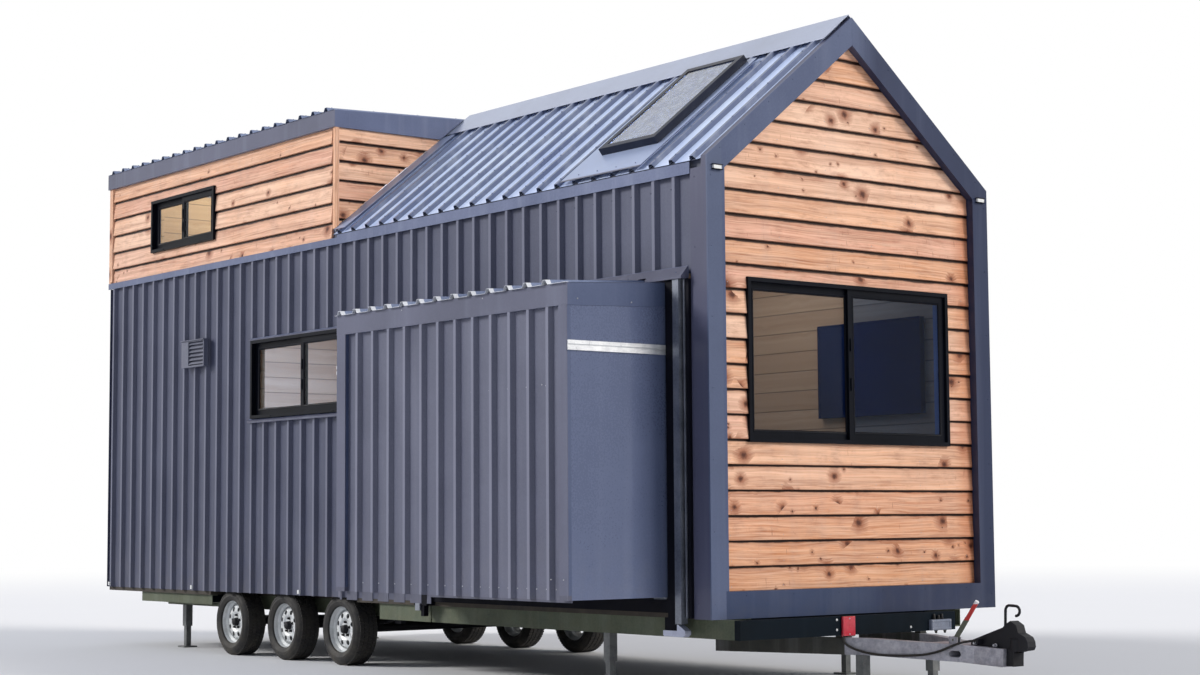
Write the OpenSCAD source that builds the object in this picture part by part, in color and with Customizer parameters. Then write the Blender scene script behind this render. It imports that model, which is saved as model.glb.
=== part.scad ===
// Tiny house on a triple-axle trailer, with a slide-out room, a loft box and a cedar gable.
// Millimetres. +X points to the drawbar, -Y to the slide-out side, +Z up, and the ground is at zero.

/* [House] */
// Width over the trim of the front gable
body_w = 2450; // [2300:10:2500]
// Length from the front trim to the rear cladding
body_l = 8030; // [7600:10:8600]
// Height of the outer eave corner above the ground
eave_z = 3200; // [3000:10:3250]
// Pitch of the main roof in degrees
roof_pitch = 39; // [35:0.5:40]
// Underside of the front trim above the ground
trim_z = 470; // [450:5:520]
// Underside of the side cladding above the ground
cladding_z = 500; // [485:5:540]
// Thickness of the framed walls
wall_t = 90; // [70:5:110]
// Thickness of the floor deck
floor_t = 105; // [80:5:110]
// Thickness of the roof panels
roof_t = 100; // [60:5:120]

/* [Ribbed sheet] */
// Distance from rib to rib
rib_pitch = 190.5; // [150:0.5:210]
// Height of a rib
rib_h = 29; // [20:1:35]
// Width of a rib at its foot
rib_foot = 58; // [45:1:70]
// Width of a rib at its crest
rib_crest = 26; // [15:1:35]
// Thickness of the sheet
sheet_t = 2; // [1:0.5:3]

/* [Gable] */
// Width of the posts and barges of the gable trim
band_w = 138; // [110:2:160]
// Height of the sill of the gable trim
sill_h = 160; // [120:5:200]
// How far the trim stands in front of the boards
trim_d = 55; // [40:1:90]
// How far the trim wraps back along the side walls
wrap_l = 155; // [110:5:160]
// Thickness of the cedar boarding
board_t = 20; // [14:1:26]
// Width of the gable window
gable_window_w = 1745; // [1400:5:1850]
// Height of the gable window
gable_window_h = 990; // [700:5:1100]
// Underside of the gable window above the ground
gable_window_z = 1510; // [1300:10:1600]

/* [Loft] */
// Distance of the loft front behind the front trim
loft_x = 4230; // [3800:10:4700]
// Height of the loft walls above the eave corner
loft_rise = 793; // [700:1:820]
// Height of the loft fascia at the eaves
fascia_h = 128; // [100:1:150]
// Pitch of the loft roof in degrees
loft_pitch = 2.3; // [1.5:0.1:3]
// How far the cedar boards of the loft reach below the eave corner
loft_board_drop = 45; // [0:5:60]
// Width of the corner boards
corner_w = 62; // [45:1:80]

/* [Windows] */
// Depth of the black window frames
frame_d = 70; // [50:5:85]
// Width of the bars of the window frames
frame_w = 42; // [30:1:55]
// Width of the bars of the sashes
sash_w = 38; // [28:1:50]
// Thickness of the glass
glass_t = 8; // [5:1:12]
// Width of the long-wall windows
side_window_w = 1547; // [1200:5:1700]
// Height of the long-wall windows
side_window_h = 614; // [500:2:800]
// Centre of the long-wall windows behind the front trim
side_window_x = 4674; // [4200:5:5000]
// Underside of the long-wall windows above the ground
side_window_z = 1858; // [1700:5:1900]
// Width of the loft windows
loft_window_w = 1120; // [900:5:1300]
// Height of the loft windows
loft_window_h = 445; // [350:5:480]
// Centre of the loft windows behind the front trim
loft_window_x = 6645; // [6200:5:7000]
// Underside of the loft windows above the eave corner
loft_window_up = 145; // [100:5:200]
// Width of the door on the far side
door_w = 900; // [800:10:1000]
// Height of the door on the far side
door_h = 2050; // [1900:10:2100]
// Centre of the door behind the front trim
door_x = 3050; // [2700:10:3200]

/* [Slide-out] */
// Outer length of the slide-out along the house
slide_l = 2532; // [2200:2:2700]
// Distance of its front end wall behind the front trim
slide_x = 361; // [350:1:420]
// How far its ribbed face stands out from the house side
slide_reach = 772; // [600:2:900]
// Underside of the slide-out above the ground
slide_z = 594; // [590:1:640]
// Top of the slide-out at its outer edge above the ground
slide_top = 2424; // [2300:2:2430]
// Fall of its roof in degrees
slide_pitch = 3.3; // [1:0.1:4]
// Thickness of its walls and floor
slide_t = 55; // [40:5:70]
// Height of its fascia band
slide_band = 130; // [100:2:150]
// Clear gap between its body and the wall opening
slide_gap = 20; // [12:1:24]
// How far its ribs lie behind those of the house
slide_rib_shift = 50; // [0:1:95]
// Thickness of its rack bars
rack_t = 12; // [8:1:14]
// Height of the rack above the ground
rack_z = 2061; // [1900:1:2150]

/* [Skylight] */
// Width of the skylight along the house
skylight_w = 560; // [450:10:700]
// Length of the skylight up the slope
skylight_l = 980; // [800:10:1000]
// Centre of the skylight behind the front trim
skylight_x = 960; // [900:10:1600]
// Distance from the eave up the slope to the skylight
skylight_up = 265; // [200:5:280]
// Height of its frame above the roof plane
skylight_h = 68; // [50:2:90]

/* [Trailer] */
// Height of the trailer rails
rail_h = 113; // [100:1:130]
// Width of the rail flanges
rail_w = 50; // [40:2:60]
// Reach of the rails in front of the front trim
rail_reach = 190; // [150:5:260]
// Reach of the coupling in front of the front trim
coupling_reach = 1340; // [1300:5:1500]
// Distance of the middle axle behind the front trim
axle_x = 5035; // [4900:5:5200]
// Distance from axle to axle
axle_gap = 825; // [700:5:900]
// Outer diameter of the tyres
tyre_d = 525; // [500:5:560]
// Width of the tyres
tyre_w = 195; // [165:5:205]
// Diameter of the rim flanges
rim_d = 362; // [340:2:400]
// Side of the square stabiliser legs
leg_w = 60; // [50:2:80]
// Diameter of the cable at the drawbar
cable_d = 14; // [10:1:18]

/* [Hidden] */
$fn = 48;
rib_phase = 120;
half_w = body_w / 2;
wall_y = half_w - rib_h;
room_y = wall_y - wall_t;
floor_z = trim_z + floor_t;
wall_end = body_l - rib_h;
gable_x = trim_d + board_t;
front_x = gable_x + wall_t;
run = half_w / cos(roof_pitch);
ridge_z = eave_z + half_w * tan(roof_pitch);
crest_up = 16;
pan_up = crest_up - rib_h;
eave_over = 22;
fascia_out = 12;
fascia_z = eave_z + loft_rise;
loft_board_z = eave_z - loft_board_drop;
loft_window_z = eave_z + loft_window_up;
loft_top = fascia_z + fascia_h;
loft_ridge = loft_top + half_w * tan(loft_pitch);
fit = 0.4;
clear = 6;
sill_drop = 34;
head_h = 20;

slide_end = slide_x + slide_l;
slide_y = half_w + slide_reach;
slide_wall_y = slide_y - rib_h;
slide_in = room_y - 45;
slide_drop = tan(slide_pitch);
slide_over = 18;
opening_x0 = slide_x - slide_gap;
opening_x1 = slide_end + slide_gap;
slide_roof_wall = slide_top + slide_reach * slide_drop;
slide_crest = rib_h + 1;
opening_z = slide_top + (slide_y - room_y) * slide_drop + slide_crest + 6;
flashing_z = slide_roof_wall + 8;
seal_reach = 42;
seal_w = 74;
seal_back = 4;
column_w = 55;
column_y = half_w + seal_reach + 8;
rack_gap = rack_t + clear;

rail_z = trim_z - rail_h;
arm_top = rail_z - 14;
main_y = 930;
side_rail_y = half_w - 50;
chassis_end = body_l - 620;
axle_z = tyre_d / 2;
track_y = side_rail_y - tyre_w / 2;
arm_h = 100;
dip_x = 340;
dip = 2.5;
lever_x = 834;
arm_spread = 345;
arm_end = coupling_reach - 240;
axles_x = [axle_x - axle_gap, axle_x, axle_x + axle_gap];
well_r = tyre_d / 2 + 25;
well_y = track_y - tyre_w / 2 - 15;
rear_leg = chassis_end - 310;
slide_phase = rib_phase + slide_rib_shift;
slide_corner = 107;
handle_out = 60;
legs_xy = [[-1057, 40 - side_rail_y], [-1057, main_y - rail_w / 2], [-rear_leg, main_y - rail_w / 2],
           [-rear_leg, rail_w / 2 - main_y], [300, 300], [300, -300]];
lamp_ribs = [for (part = [0.5843, 0.7978, 0.9876]) round((part * body_l - rib_phase) / rib_pitch)];

x_mid = (coupling_reach - body_l - fascia_out) / 2;
y_mid = (half_w + handle_out - slide_y - slide_over - rib_h * sin(slide_pitch)) / 2;

hub_d = 38;
rear_bars = [axles_x[2] + 490, chassis_end - 70];

cable_points = [
    [202, -364.8, 347.6], [203, -364.8, 334], [209, -363.5, 319], [222, -359.5, 305], [243, -352.5, 292],
    [272, -342, 279.5], [308, -328.5, 268], [352, -312, 258], [406, -292, 250.5], [470, -268.5, 247],
    [540, -243, 247.5], [610, -217.5, 250.5], [680, -192, 256.5], [738, -170.5, 268], [788, -152, 284],
    [830, -136.5, 302], [862, -122, 317], [890, -106, 328.5], [915, -90, 336.5], [938, -74, 341],
    [957, -63, 343.5], [975, -58, 344.5], [990.2, -58, 343.83]
];

// Moves the house from its front trim to the middle of its plan
module placed() {
    translate([-x_mid, -y_mid, 0]) children();
}

// A box from two corners, measured back from the front trim
module block(back0, back1, y0, y1, z0, z1) {
    translate([-back1, y0, z0]) cube([back1 - back0, y1 - y0, z1 - z0]);
}

// Repeats what it holds on both long sides
module both_sides() {
    children();
    mirror([0, 1, 0]) children();
}

// Draws both roof slopes, and tells what it holds which one it is on
module each_slope() {
    for ($side = [0, 1]) mirror([0, $side, 0]) children();
}

// Points of one face of a ribbed sheet, from start to end, raised by lift
function rib_line(start, end, lift, first) = concat(
    [[start, lift]],
    [for (c = [first : rib_pitch : end - rib_foot / 2 - 4])
        each [[c - rib_foot / 2, lift], [c - rib_crest / 2, lift + rib_h - sheet_t],
              [c + rib_crest / 2, lift + rib_h - sheet_t], [c + rib_foot / 2, lift]]],
    [[end, lift]]
);

function reversed(points) = [for (i = [len(points) - 1 : -1 : 0]) points[i]];

// Cross-section of a ribbed sheet, with its pans on the axis and its ribs upwards
module rib_section(start, end, first) {
    polygon(concat(rib_line(start, end, 0, first), reversed(rib_line(start, end, sheet_t, first))));
}

// Distance behind the front trim of the first rib that fits after start
function first_rib(start, phase = rib_phase) =
    phase + rib_pitch * ceil((start + rib_foot / 2 + 4 - phase) / rib_pitch);

// A ribbed sheet on the -Y face of a wall at depth y, with upright ribs
module upright_ribs(back0, back1, y, z0, z1, phase = rib_phase) {
    translate([0, -y, z0]) mirror([1, 0, 0]) mirror([0, 1, 0])
        linear_extrude(z1 - z0) rib_section(back0, back1, first_rib(back0, phase));
}

// Lays what it holds on the -Y roof slope: X along the house, Y up the slope, Z off the roof
module on_slope() {
    translate([0, -half_w, eave_z]) rotate([roof_pitch, 0, 0]) children();
}

// Ribs that run up the slope between two distances from the eave
module slope_ribs(back0, back1, up0, up1, lift, phase = rib_phase) {
    translate([0, up1, lift]) rotate([90, 0, 0]) mirror([1, 0, 0])
        linear_extrude(up1 - up0) rib_section(back0, back1, first_rib(back0, phase));
}

// A channel rail along X with its web at depth y and its flanges inwards
module channel(back0, back1, y, low = 0) {
    web = 6;
    flange = 8;
    translate([-back0, -y, rail_z]) rotate([90, 0, -90]) linear_extrude(back1 - back0)
        polygon([[0, low], [-rail_w, low], [-rail_w, low + flange], [-web, low + flange],
                 [-web, rail_h - flange], [-rail_w, rail_h - flange], [-rail_w, rail_h], [0, rail_h]]);
}

module chassis_rails() {
    color("darkseagreen") placed() both_sides() {
        channel(40, chassis_end, main_y);
        channel(axles_x[2] + 300, chassis_end, side_rail_y, 34);
        channel(slide_end + 103, axles_x[0] - 560, side_rail_y);
    }
    color("darkseagreen") placed() channel(fit - rail_reach + rail_w, slide_end + 87, side_rail_y);
}

// Crossbars and outriggers, with the beam in front of the house
module cross_members() {
    color("darkslategray") placed() {
        for (back = [300 : 850 : slide_end + 100]) crossbar(back, main_y - rail_w, rail_z + 20);
        for (back = axles_x) crossbar(back - axle_gap / 2, main_y - rail_w, rail_z + 45);
        for (back = rear_bars) crossbar(back, main_y - rail_w, rail_z + 20);
        both_sides() {
            for (back = [300 : 850 : slide_end + 100]) outrigger(back);
            for (back = concat([axles_x[0] - 650], rear_bars)) outrigger(back);
        }
        block(-rail_reach, -rail_reach + rail_w, -side_rail_y, 630, rail_z, trim_z);
    }
}

module crossbar(back, reach, z) {
    block(back, back + 50, -reach, reach, z, trim_z);
}

module outrigger(back) {
    block(back, back + 50, main_y, side_rail_y - 6, rail_z + 44, trim_z - 8);
}

// The A-frame under the rails, with a nose plate and the lever's bracket
module drawbar() {
    top = arm_top;
    color("silver") placed() difference() {
        union() {
            both_sides() arm(top);
            for (s = [-1, 1]) {
                translate([rail_reach - rail_w, s * 340 - 25, top]) cube([rail_w, 50, rail_z - top]);
                translate([-350, s * 525 - 25, top]) cube([50, 50, rail_z + 20 - top]);
            }
            nose_down() {
                translate([arm_end - 300, -70, top - arm_h]) cube([390, 140, arm_h]);
                translate([0, 0, top - 12]) linear_extrude(12)
                    polygon([[690, -168], [980, -70], [980, 70], [690, 168]]);
                for (y = [-102, -72]) translate([lever_x - 30, y, top]) cube([60, 10, 42]);
            }
        }
        nose_down() {
            translate([860, -200, top - 55]) rotate([-90, 0, 0]) slot_cut(400);
            translate([lever_x, -110, top + 24]) rotate([-90, 0, 0]) cylinder(d = 14 + 2 * fit, h = 60);
        }
    }
}

// Tips the front of the drawbar down, with what it carries
module nose_down() {
    translate([dip_x, 0, arm_top]) rotate([0, dip, 0]) translate([-dip_x, 0, -arm_top]) children();
}

module slot_cut(depth) {
    hull() {
        translate([-16, 0, 0]) cylinder(r = 19, h = depth, $fn = 32);
        translate([16, 0, 0]) cylinder(r = 19, h = depth, $fn = 32);
    }
}

// One arm of the A-frame, whose front part runs slightly downwards
module arm(top) {
    back = 620;
    front = arm_end - 120;
    rise = (arm_spread - 45) / (front - rail_reach);
    reach_back = arm_spread + rise * (rail_reach + back);
    fall = (front + 20 - dip_x) * tan(dip);
    intersection() {
        linear_extrude(top + 50) polygon([[-back, -reach_back], [front, -66], [front, -11], [-back, 60 - reach_back]]);
        translate([0, 10, 0]) rotate([90, 0, 0]) linear_extrude(900) polygon([
            [-back - 20, top - arm_h], [dip_x - arm_h * tan(dip / 2), top - arm_h],
            [front + 20, top - fall + 1 - arm_h / cos(dip)], [front + 20, top - fall - 1], [dip_x, top], [-back - 20, top]]);
    }
}

module coupling() {
    base = arm_top;
    color("black") placed() nose_down() {
        difference() {
            union() {
                translate([0, 34, 0]) rotate([90, 0, 0]) linear_extrude(68) polygon([
                    [915, base], [1262, base], [1262, base - 12], [1328, base + 2], [1340, base + 22],
                    [1334, base + 52], [1318, base + 76], [1266, base + 96], [1250, base + 138],
                    [1206, base + 160], [1172, base + 140], [1150, base + 118], [1062, base + 84],
                    [915, base + 26]]);
                translate([1239, 0, base - 10]) cylinder(d = 94, h = 70);
                translate([arm_end + 90 + fit, -44, base - 96]) cube([52, 88, 97]);
                translate([990, -78, base + 14]) cube([16, 50, 30]);
            }
            translate([1239, 0, base - 20]) cylinder(d = 52, h = 60);
        }
        for (x = [960, 1110]) translate([x, 0, base]) rotate([90, 0, 0]) translate([0, 14, -46])
            cylinder(d = 22, h = 92);
        translate([1142, 0, base + 84]) coupling_handle();
    }
}

// The curled handle over the coupling
module coupling_handle() {
    bar = 16;
    cylinder(d = bar, h = 130);
    translate([30, 0, 130]) rotate([90, 0, 0]) rotate([0, 0, 90]) rotate_extrude(angle = 90)
        translate([30, 0]) circle(d = bar);
    translate([30, 0, 160]) rotate([0, 90, 0]) cylinder(d = bar, h = 46);
    translate([76, 0, 132]) rotate([90, 0, 0]) rotate([0, 0, -90]) rotate_extrude(angle = 180)
        translate([28, 0]) circle(d = bar);
}

// Axle beams, leaf springs and hangers
module running_gear() {
    spring_y = main_y - rail_w / 2;
    color("dimgray") placed() {
        for (back = axles_x) {
            translate([-back, spring_y - 30 - fit, axle_z]) rotate([90, 0, 0])
                cylinder(d = 60, h = 2 * (spring_y - 30 - fit));
            both_sides() translate([-back, -track_y - 20, axle_z]) rotate([-90, 0, 0])
                cylinder(d = hub_d, h = track_y + 20 - spring_y - 30 - fit);
        }
        both_sides() {
            for (back = axles_x) spring(back, spring_y);
            for (i = [-1 : 2]) hanger(axle_x + (i - 0.5) * axle_gap, spring_y);
        }
    }
}

module spring(back, y) {
    bow = 34;
    leaf = 22;
    half = axle_gap / 2 - 30;
    for (n = [0 : 2])
        translate([-back, -y + 25, axle_z + 24]) rotate([90, 0, 0]) linear_extrude(50) {
            reach = 1 - 0.3 * n;
            curve = [for (i = [-6 : 6]) [i / 6 * half * reach, bow * pow(i / 6 * reach,
                2) + leaf * (2 - n) / 3]];
            polygon(concat(curve, reversed([for (p = curve) p + [0, leaf / 3 + 0.01]])));
        }
    translate([-back - 45, -y - 30, axle_z - 40]) cube([90, 60, 74]);
}

module hanger(back, y) {
    translate([-back - 40, -y - 20, axle_z + 48]) cube([80, 40, rail_z - axle_z - 48]);
}

module stabiliser_legs() {
    color("gray") placed() for (p = legs_xy) {
        top = p[0] > 0 ? arm_top - arm_h : rail_z;
        translate([p[0] - leg_w / 2, p[1] - leg_w / 2, top / 2]) cube([leg_w, leg_w, top / 2]);
        translate([p[0] - leg_w / 2 + 8, p[1] - leg_w / 2 + 8, 10]) cube([leg_w - 16, leg_w - 16, top / 2]);
        translate([p[0] - leg_w, p[1] - leg_w, 0]) cube([2 * leg_w, 2 * leg_w, 12]);
    }
}

module floor_deck() {
    color("burlywood") placed() difference() {
        block(gable_x, wall_end, -wall_y, wall_y, trim_z, floor_z);
        both_sides()
            block(axles_x[0] - well_r, axles_x[2] + well_r, -half_w, -well_y, trim_z - 1, tyre_d + 12);
    }
}

module window_hole(back, w, z, h) {
    translate([-back - w / 2, -10, z]) cube([w, 3 * wall_t, h]);
}

// A long wall from a distance behind the front trim, with the loft wall on top of it
module long_wall(start) {
    difference() {
        union() {
            block(start, wall_end, -wall_y, -room_y, floor_z, eave_panel_z());
            block(loft_x, wall_end, -wall_y, -room_y, eave_panel_z() + fit, fascia_z);
        }
        translate([0, -wall_y, 0]) window_hole(side_window_x, side_window_w, side_window_z, side_window_h);
        translate([0, -wall_y, 0]) window_hole(loft_window_x, loft_window_w, loft_window_z, loft_window_h);
    }
}

// The wall behind the opening of the slide-out, the header over it and the pier in front of it
module near_wall() {
    color("wheat") placed() {
        long_wall(opening_x1);
        block(opening_x0 + fit, opening_x1 - fit, -wall_y, -room_y, opening_z, eave_panel_z());
        block(front_x, opening_x0, -wall_y, -room_y, floor_z, eave_panel_z());
    }
}

// Top of a long wall, where the underside of the roof panel meets its outer face
function eave_panel_z() = eave_z - rib_h * tan(roof_pitch) - (roof_t - pan_up) / cos(roof_pitch)
    + rib_h * 2 * tan(roof_pitch) - fit;

module far_wall() {
    color("wheat") placed() mirror([0, 1, 0]) difference() {
        long_wall(front_x);
        translate([0, -wall_y, 0]) window_hole(door_x, door_w, floor_z - 1, door_h + 1);
    }
}

// Outline of the gable between two eave points, lowered from the roof plane
module gable_outline(reach, bottom, lower) {
    edge = eave_z + (half_w - reach) * tan(roof_pitch) - lower;
    polygon([[-reach, bottom], [reach, bottom], [reach, edge], [0, edge + reach * tan(roof_pitch)],
        [-reach, edge]]);
}

// Stands a Y-Z outline up across the house
module across(back0, back1) {
    translate([-back1, 0, 0]) rotate([90, 0, 90]) linear_extrude(back1 - back0) children();
}

// The gable wall, the rear wall and the two triangles between the main roof and the loft roof
module end_walls() {
    under = (roof_t - pan_up) / cos(roof_pitch) + fit;
    over = crest_up / cos(roof_pitch) + 6;
    color("wheat") placed() {
        difference() {
            across(gable_x, front_x) gable_outline(wall_y, floor_z, under);
            gable_hole();
        }
        block(wall_end - wall_t, wall_end, -room_y, room_y, floor_z, fascia_z);
        both_sides() across(loft_x, loft_x + wall_t)
            polygon([[-room_y, eave_z + (half_w - room_y) * tan(roof_pitch) + over],
                     [-(ridge_z + over - fascia_z) / tan(roof_pitch), fascia_z], [-room_y, fascia_z]]);
    }
}

module gable_hole() {
    translate([-front_x - 10, -gable_window_w / 2, gable_window_z])
        cube([front_x, gable_window_w, gable_window_h]);
}

module wall_cladding() {
    color("dimgray") placed() {
        difference() {
            upright_ribs(wrap_l, body_l - rib_h, wall_y, cladding_z, cladding_top());
            block(opening_x0 - 1, slide_end + slide_x - wrap_l, -half_w - 10, -wall_y + 10, 0, opening_z);
            block(0, opening_x0, -half_w - 10, -wall_y + 10, 0, opening_z);
            side_window_hole();
        }
        mirror([0, 1, 0]) difference() {
            upright_ribs(wrap_l, body_l - rib_h, wall_y, cladding_z, cladding_top());
            side_window_hole();
            translate([0, -half_w - 5, 0]) window_hole(door_x, door_w, 0, door_h + floor_z);
        }
        translate([-wall_end, 0, cladding_z]) rotate([0, 0, -90]) mirror([0, 1, 0])
            linear_extrude(cladding_top() - cladding_z) rib_section(-half_w + 4, half_w - 4,
                -rib_pitch * floor((half_w - rib_foot / 2 - 8) / rib_pitch));
    }
}

// The hole in the ribbed sheet for a side window, with its sill and head flashing
module side_window_hole() {
    translate([0, -half_w - 5, 0]) {
        window_hole(side_window_x, side_window_w, side_window_z, side_window_h);
        window_hole(side_window_x, side_window_w + 70, side_window_z - sill_drop, sill_drop);
        window_hole(side_window_x, side_window_w + 50, side_window_z + side_window_h, head_h);
    }
}

function cladding_top() = loft_board_z - 50;

module gable_boards() {
    under = band_w / cos(roof_pitch) - 40;
    color("peru") placed() difference() {
        across(trim_d, gable_x) gable_outline(half_w - 40, floor_z, under);
        gable_hole();
    }
}

// Cedar boarding round the loft, with L-shaped boards on its four corners
module loft_boards() {
    over = crest_up / cos(roof_pitch) + 6;
    ridge_meets = (ridge_z + over - fascia_z) / tan(roof_pitch);
    color("peru") placed() both_sides() {
        difference() {
            block(loft_x + corner_w, body_l - corner_w, -wall_y - board_t, -wall_y, loft_board_z, fascia_z);
            translate([0, -half_w - 5, 0])
                window_hole(loft_window_x, loft_window_w, loft_window_z, loft_window_h);
        }
        across(loft_x - board_t, loft_x)
            polygon([[-half_w + corner_w, eave_z + corner_w * tan(roof_pitch) + over],
                     [-ridge_meets, fascia_z], [-half_w + corner_w, fascia_z]]);
        block(wall_end, wall_end + board_t, -half_w + corner_w, -fit, loft_board_z, fascia_z);
        translate([-body_l, -half_w, loft_board_z]) corner_board(corner_w - fit);
        difference() {
            translate([-loft_x + rib_h, -half_w, loft_board_z]) mirror([1, 0, 0])
                corner_board(corner_w + rib_h - fit);
            across(loft_x - rib_h - 5, loft_x)
                polygon([[-half_w - 50, 0], [0, 0], [0, ridge_z + over],
                         [-half_w - 50, eave_z + over - 50 * tan(roof_pitch)]]);
        }
    }
}

module corner_board(reach) {
    linear_extrude(fascia_z - loft_board_z)
        polygon([[0, 0], [reach, 0], [reach, rib_h], [rib_h, rib_h], [rib_h, corner_w - fit],
            [0, corner_w - fit]]);
}

// Posts, barges and sill of the charcoal trim round the gable
module gable_frame() {
    drop = band_w / cos(roof_pitch);
    color("slategray") placed() {
        both_sides() difference() {
            union() {
                block(0, trim_d, -half_w, -half_w + band_w, trim_z, ridge_z);
                block(0, wrap_l - fit, -half_w, -wall_y, trim_z, eave_z - 12);
            }
            across(-5, wrap_l + 5)
                polygon([[-half_w - 5, eave_z - drop + (band_w - 5) * tan(roof_pitch) - 5],
                         [-half_w - 5, ridge_z + 50], [0, ridge_z + 50], [0, ridge_z - drop - fit],
                         [-half_w + band_w, eave_z - drop + band_w * tan(roof_pitch) - fit],
                         [-half_w, eave_z - drop + band_w * tan(roof_pitch) - fit]]);
        }
        both_sides() across(0, trim_d)
            polygon([[-half_w, eave_z - drop + band_w * tan(roof_pitch)],
                [-half_w + band_w, eave_z - drop + band_w * tan(roof_pitch)],
                [-fit, ridge_z - drop], [-fit, ridge_z], [-half_w, eave_z]]);
        block(0, trim_d, -half_w + band_w + fit, half_w - band_w - fit, trim_z, trim_z + sill_h);
    }
}

module roof_panels() {
    color("wheat") placed() each_slope() difference() {
        across(gable_x, loft_x)
            polygon([[-half_w, eave_z + pan_up / cos(roof_pitch)],
                [-fit, ridge_z + pan_up / cos(roof_pitch)],
                [-fit, ridge_z - (roof_t - pan_up) / cos(roof_pitch)],
                [-half_w, eave_z - (roof_t - pan_up) / cos(roof_pitch)]]);
        block(0, body_l, -half_w - 50, -wall_y, 0, eave_z - 20);
        block(loft_x - board_t - fit, loft_x + 1, -half_w, 1, loft_top, ridge_z);
        if ($side == 0) on_slope() translate([-skylight_x - skylight_w / 2, skylight_up, -200])
            cube([skylight_w, skylight_l, 400]);
    }
}

module roof_sheets() {
    lift = pan_up + 0.3;
    low = (crest_up * sin(roof_pitch) - eave_over) / cos(roof_pitch);
    top = run - 25;
    color("lightsteelblue") placed() each_slope() difference() {
        on_slope() slope_ribs(trim_d + 5, loft_x - board_t - fit, low, top, lift);
        if ($side == 0) on_slope() translate([-skylight_x - skylight_w / 2, skylight_up, -200])
            cube([skylight_w, skylight_l, 400]);
    }
}

// The folded cap along the main ridge
module ridge_cap() {
    wing = 285;
    t = 3;
    lift = (crest_up + fit) / cos(roof_pitch);
    low = ridge_z + lift - wing * sin(roof_pitch);
    color("lightsteelblue") placed() across(30, loft_x - board_t - fit)
        polygon([[-wing * cos(roof_pitch), low], [0, ridge_z + lift], [wing * cos(roof_pitch), low],
                 [wing * cos(roof_pitch), low + t], [0, ridge_z + lift + t / cos(roof_pitch)],
                 [-wing * cos(roof_pitch), low + t]]);
}

// Eave strips, the strip over the slide-out and the tray round the skylight
module flashings() {
    t = 4;
    color("lightslategray") placed() {
        both_sides() block(wrap_l, body_l, -half_w - t, -half_w, cladding_top() - 2, loft_board_z - fit);
        both_sides() block(wrap_l, loft_x - corner_w, -half_w - t, -half_w, cladding_top() + 1, eave_z - 25);
        difference() {
            across(wrap_l + 20, slide_end + 190) polygon([
                [-half_w, flashing_z], [-half_w - 60, flashing_z], [-half_w - 60, flashing_z + 14],
                [-half_w - 4, flashing_z + 78], [-half_w, flashing_z + 78]]);
            for (c = [first_rib(slide_x, slide_phase) : rib_pitch : slide_end])
                block(c - rib_foot / 2 - 9, c + rib_foot / 2 + 9, -half_w - 61, -half_w + 1, 0,
                    slide_roof_wall + slide_crest + 7);
        }
        both_sides() window_trims();
        each_slope() on_slope() translate([-loft_x + board_t + fit, 0, crest_up + 0.6])
            cube([150, run - 300, 2]);
        on_slope() difference() {
            translate([-skylight_x - skylight_w / 2 - 170, -10, crest_up + 0.6])
                cube([skylight_w + 240, run - 300, 2]);
            translate([-skylight_x - skylight_w / 2 - fit, skylight_up - fit, 0])
                cube([skylight_w + 2 * fit, skylight_l + 2 * fit, 50]);
        }
    }
}

// Sill and folded head flashing of a side window
module window_trims() {
    reach = side_window_w / 2 + 34;
    translate([-side_window_x, 0, side_window_z]) {
        translate([-reach, 0, 0]) rotate([90, 0, 90]) linear_extrude(2 * reach)
            polygon([[-wall_y, -sill_drop + fit], [-half_w - 20, -sill_drop + fit],
                [-half_w - 20, -sill_drop + 14],
                [-half_w + 4, -fit], [-wall_y, -fit]]);
        translate([-reach + 10, 0, side_window_h]) rotate([90, 0, 90]) linear_extrude(2 * reach - 20)
            polygon([[-wall_y, fit], [-half_w - 14, fit], [-half_w - 14, 6], [-half_w + 4, head_h - fit],
                     [-wall_y, head_h - fit]]);
    }
}

// Ribbed low gable over the loft
module loft_roof() {
    color("lightsteelblue") placed() {
        across(loft_x, wall_end)
            polygon([[-half_w, fascia_z + fit], [half_w, fascia_z + fit], [half_w, loft_top],
                     [0, loft_ridge], [-half_w, loft_top]]);
        both_sides() translate([0, -half_w, loft_top + 1.2]) rotate([loft_pitch, 0, 0])
            slope_ribs(loft_x - board_t, body_l, -fascia_out - 6, half_w / cos(loft_pitch) - 1, 0);
    }
}

// Fascia boards round the loft roof, level below and rising to the middle at the ends
module loft_fascia() {
    color("slategray") placed() {
        both_sides() {
            block(loft_x - board_t - fascia_out, body_l + fascia_out, -half_w - fascia_out,
                -half_w - fit, fascia_z, loft_top);
            across(body_l + fit, body_l + fascia_out) polygon([[-half_w, fascia_z], [0, fascia_z],
                [0, loft_ridge], [-half_w, loft_top]]);
            across(loft_x - board_t - fascia_out, loft_x - board_t - fit)
                polygon([[-half_w, fascia_z], [-(ridge_z + 30 - fascia_z) / tan(roof_pitch), fascia_z],
                         [-(ridge_z + 30 - loft_ridge) / tan(roof_pitch), loft_ridge],
                         [-half_w, loft_top]]);
        }
    }
}

module skylight_frame() {
    bar = 45;
    color("darkslategray") placed() on_slope() difference() {
        translate([-skylight_x - skylight_w / 2 + fit, skylight_up + fit, pan_up - roof_t])
            cube([skylight_w - 2 * fit, skylight_l - 2 * fit, roof_t - pan_up + skylight_h]);
        translate([-skylight_x - skylight_w / 2 + bar, skylight_up + bar, pan_up - roof_t - 1])
            cube([skylight_w - 2 * bar, skylight_l - 2 * bar, roof_t + 200]);
    }
}

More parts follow.
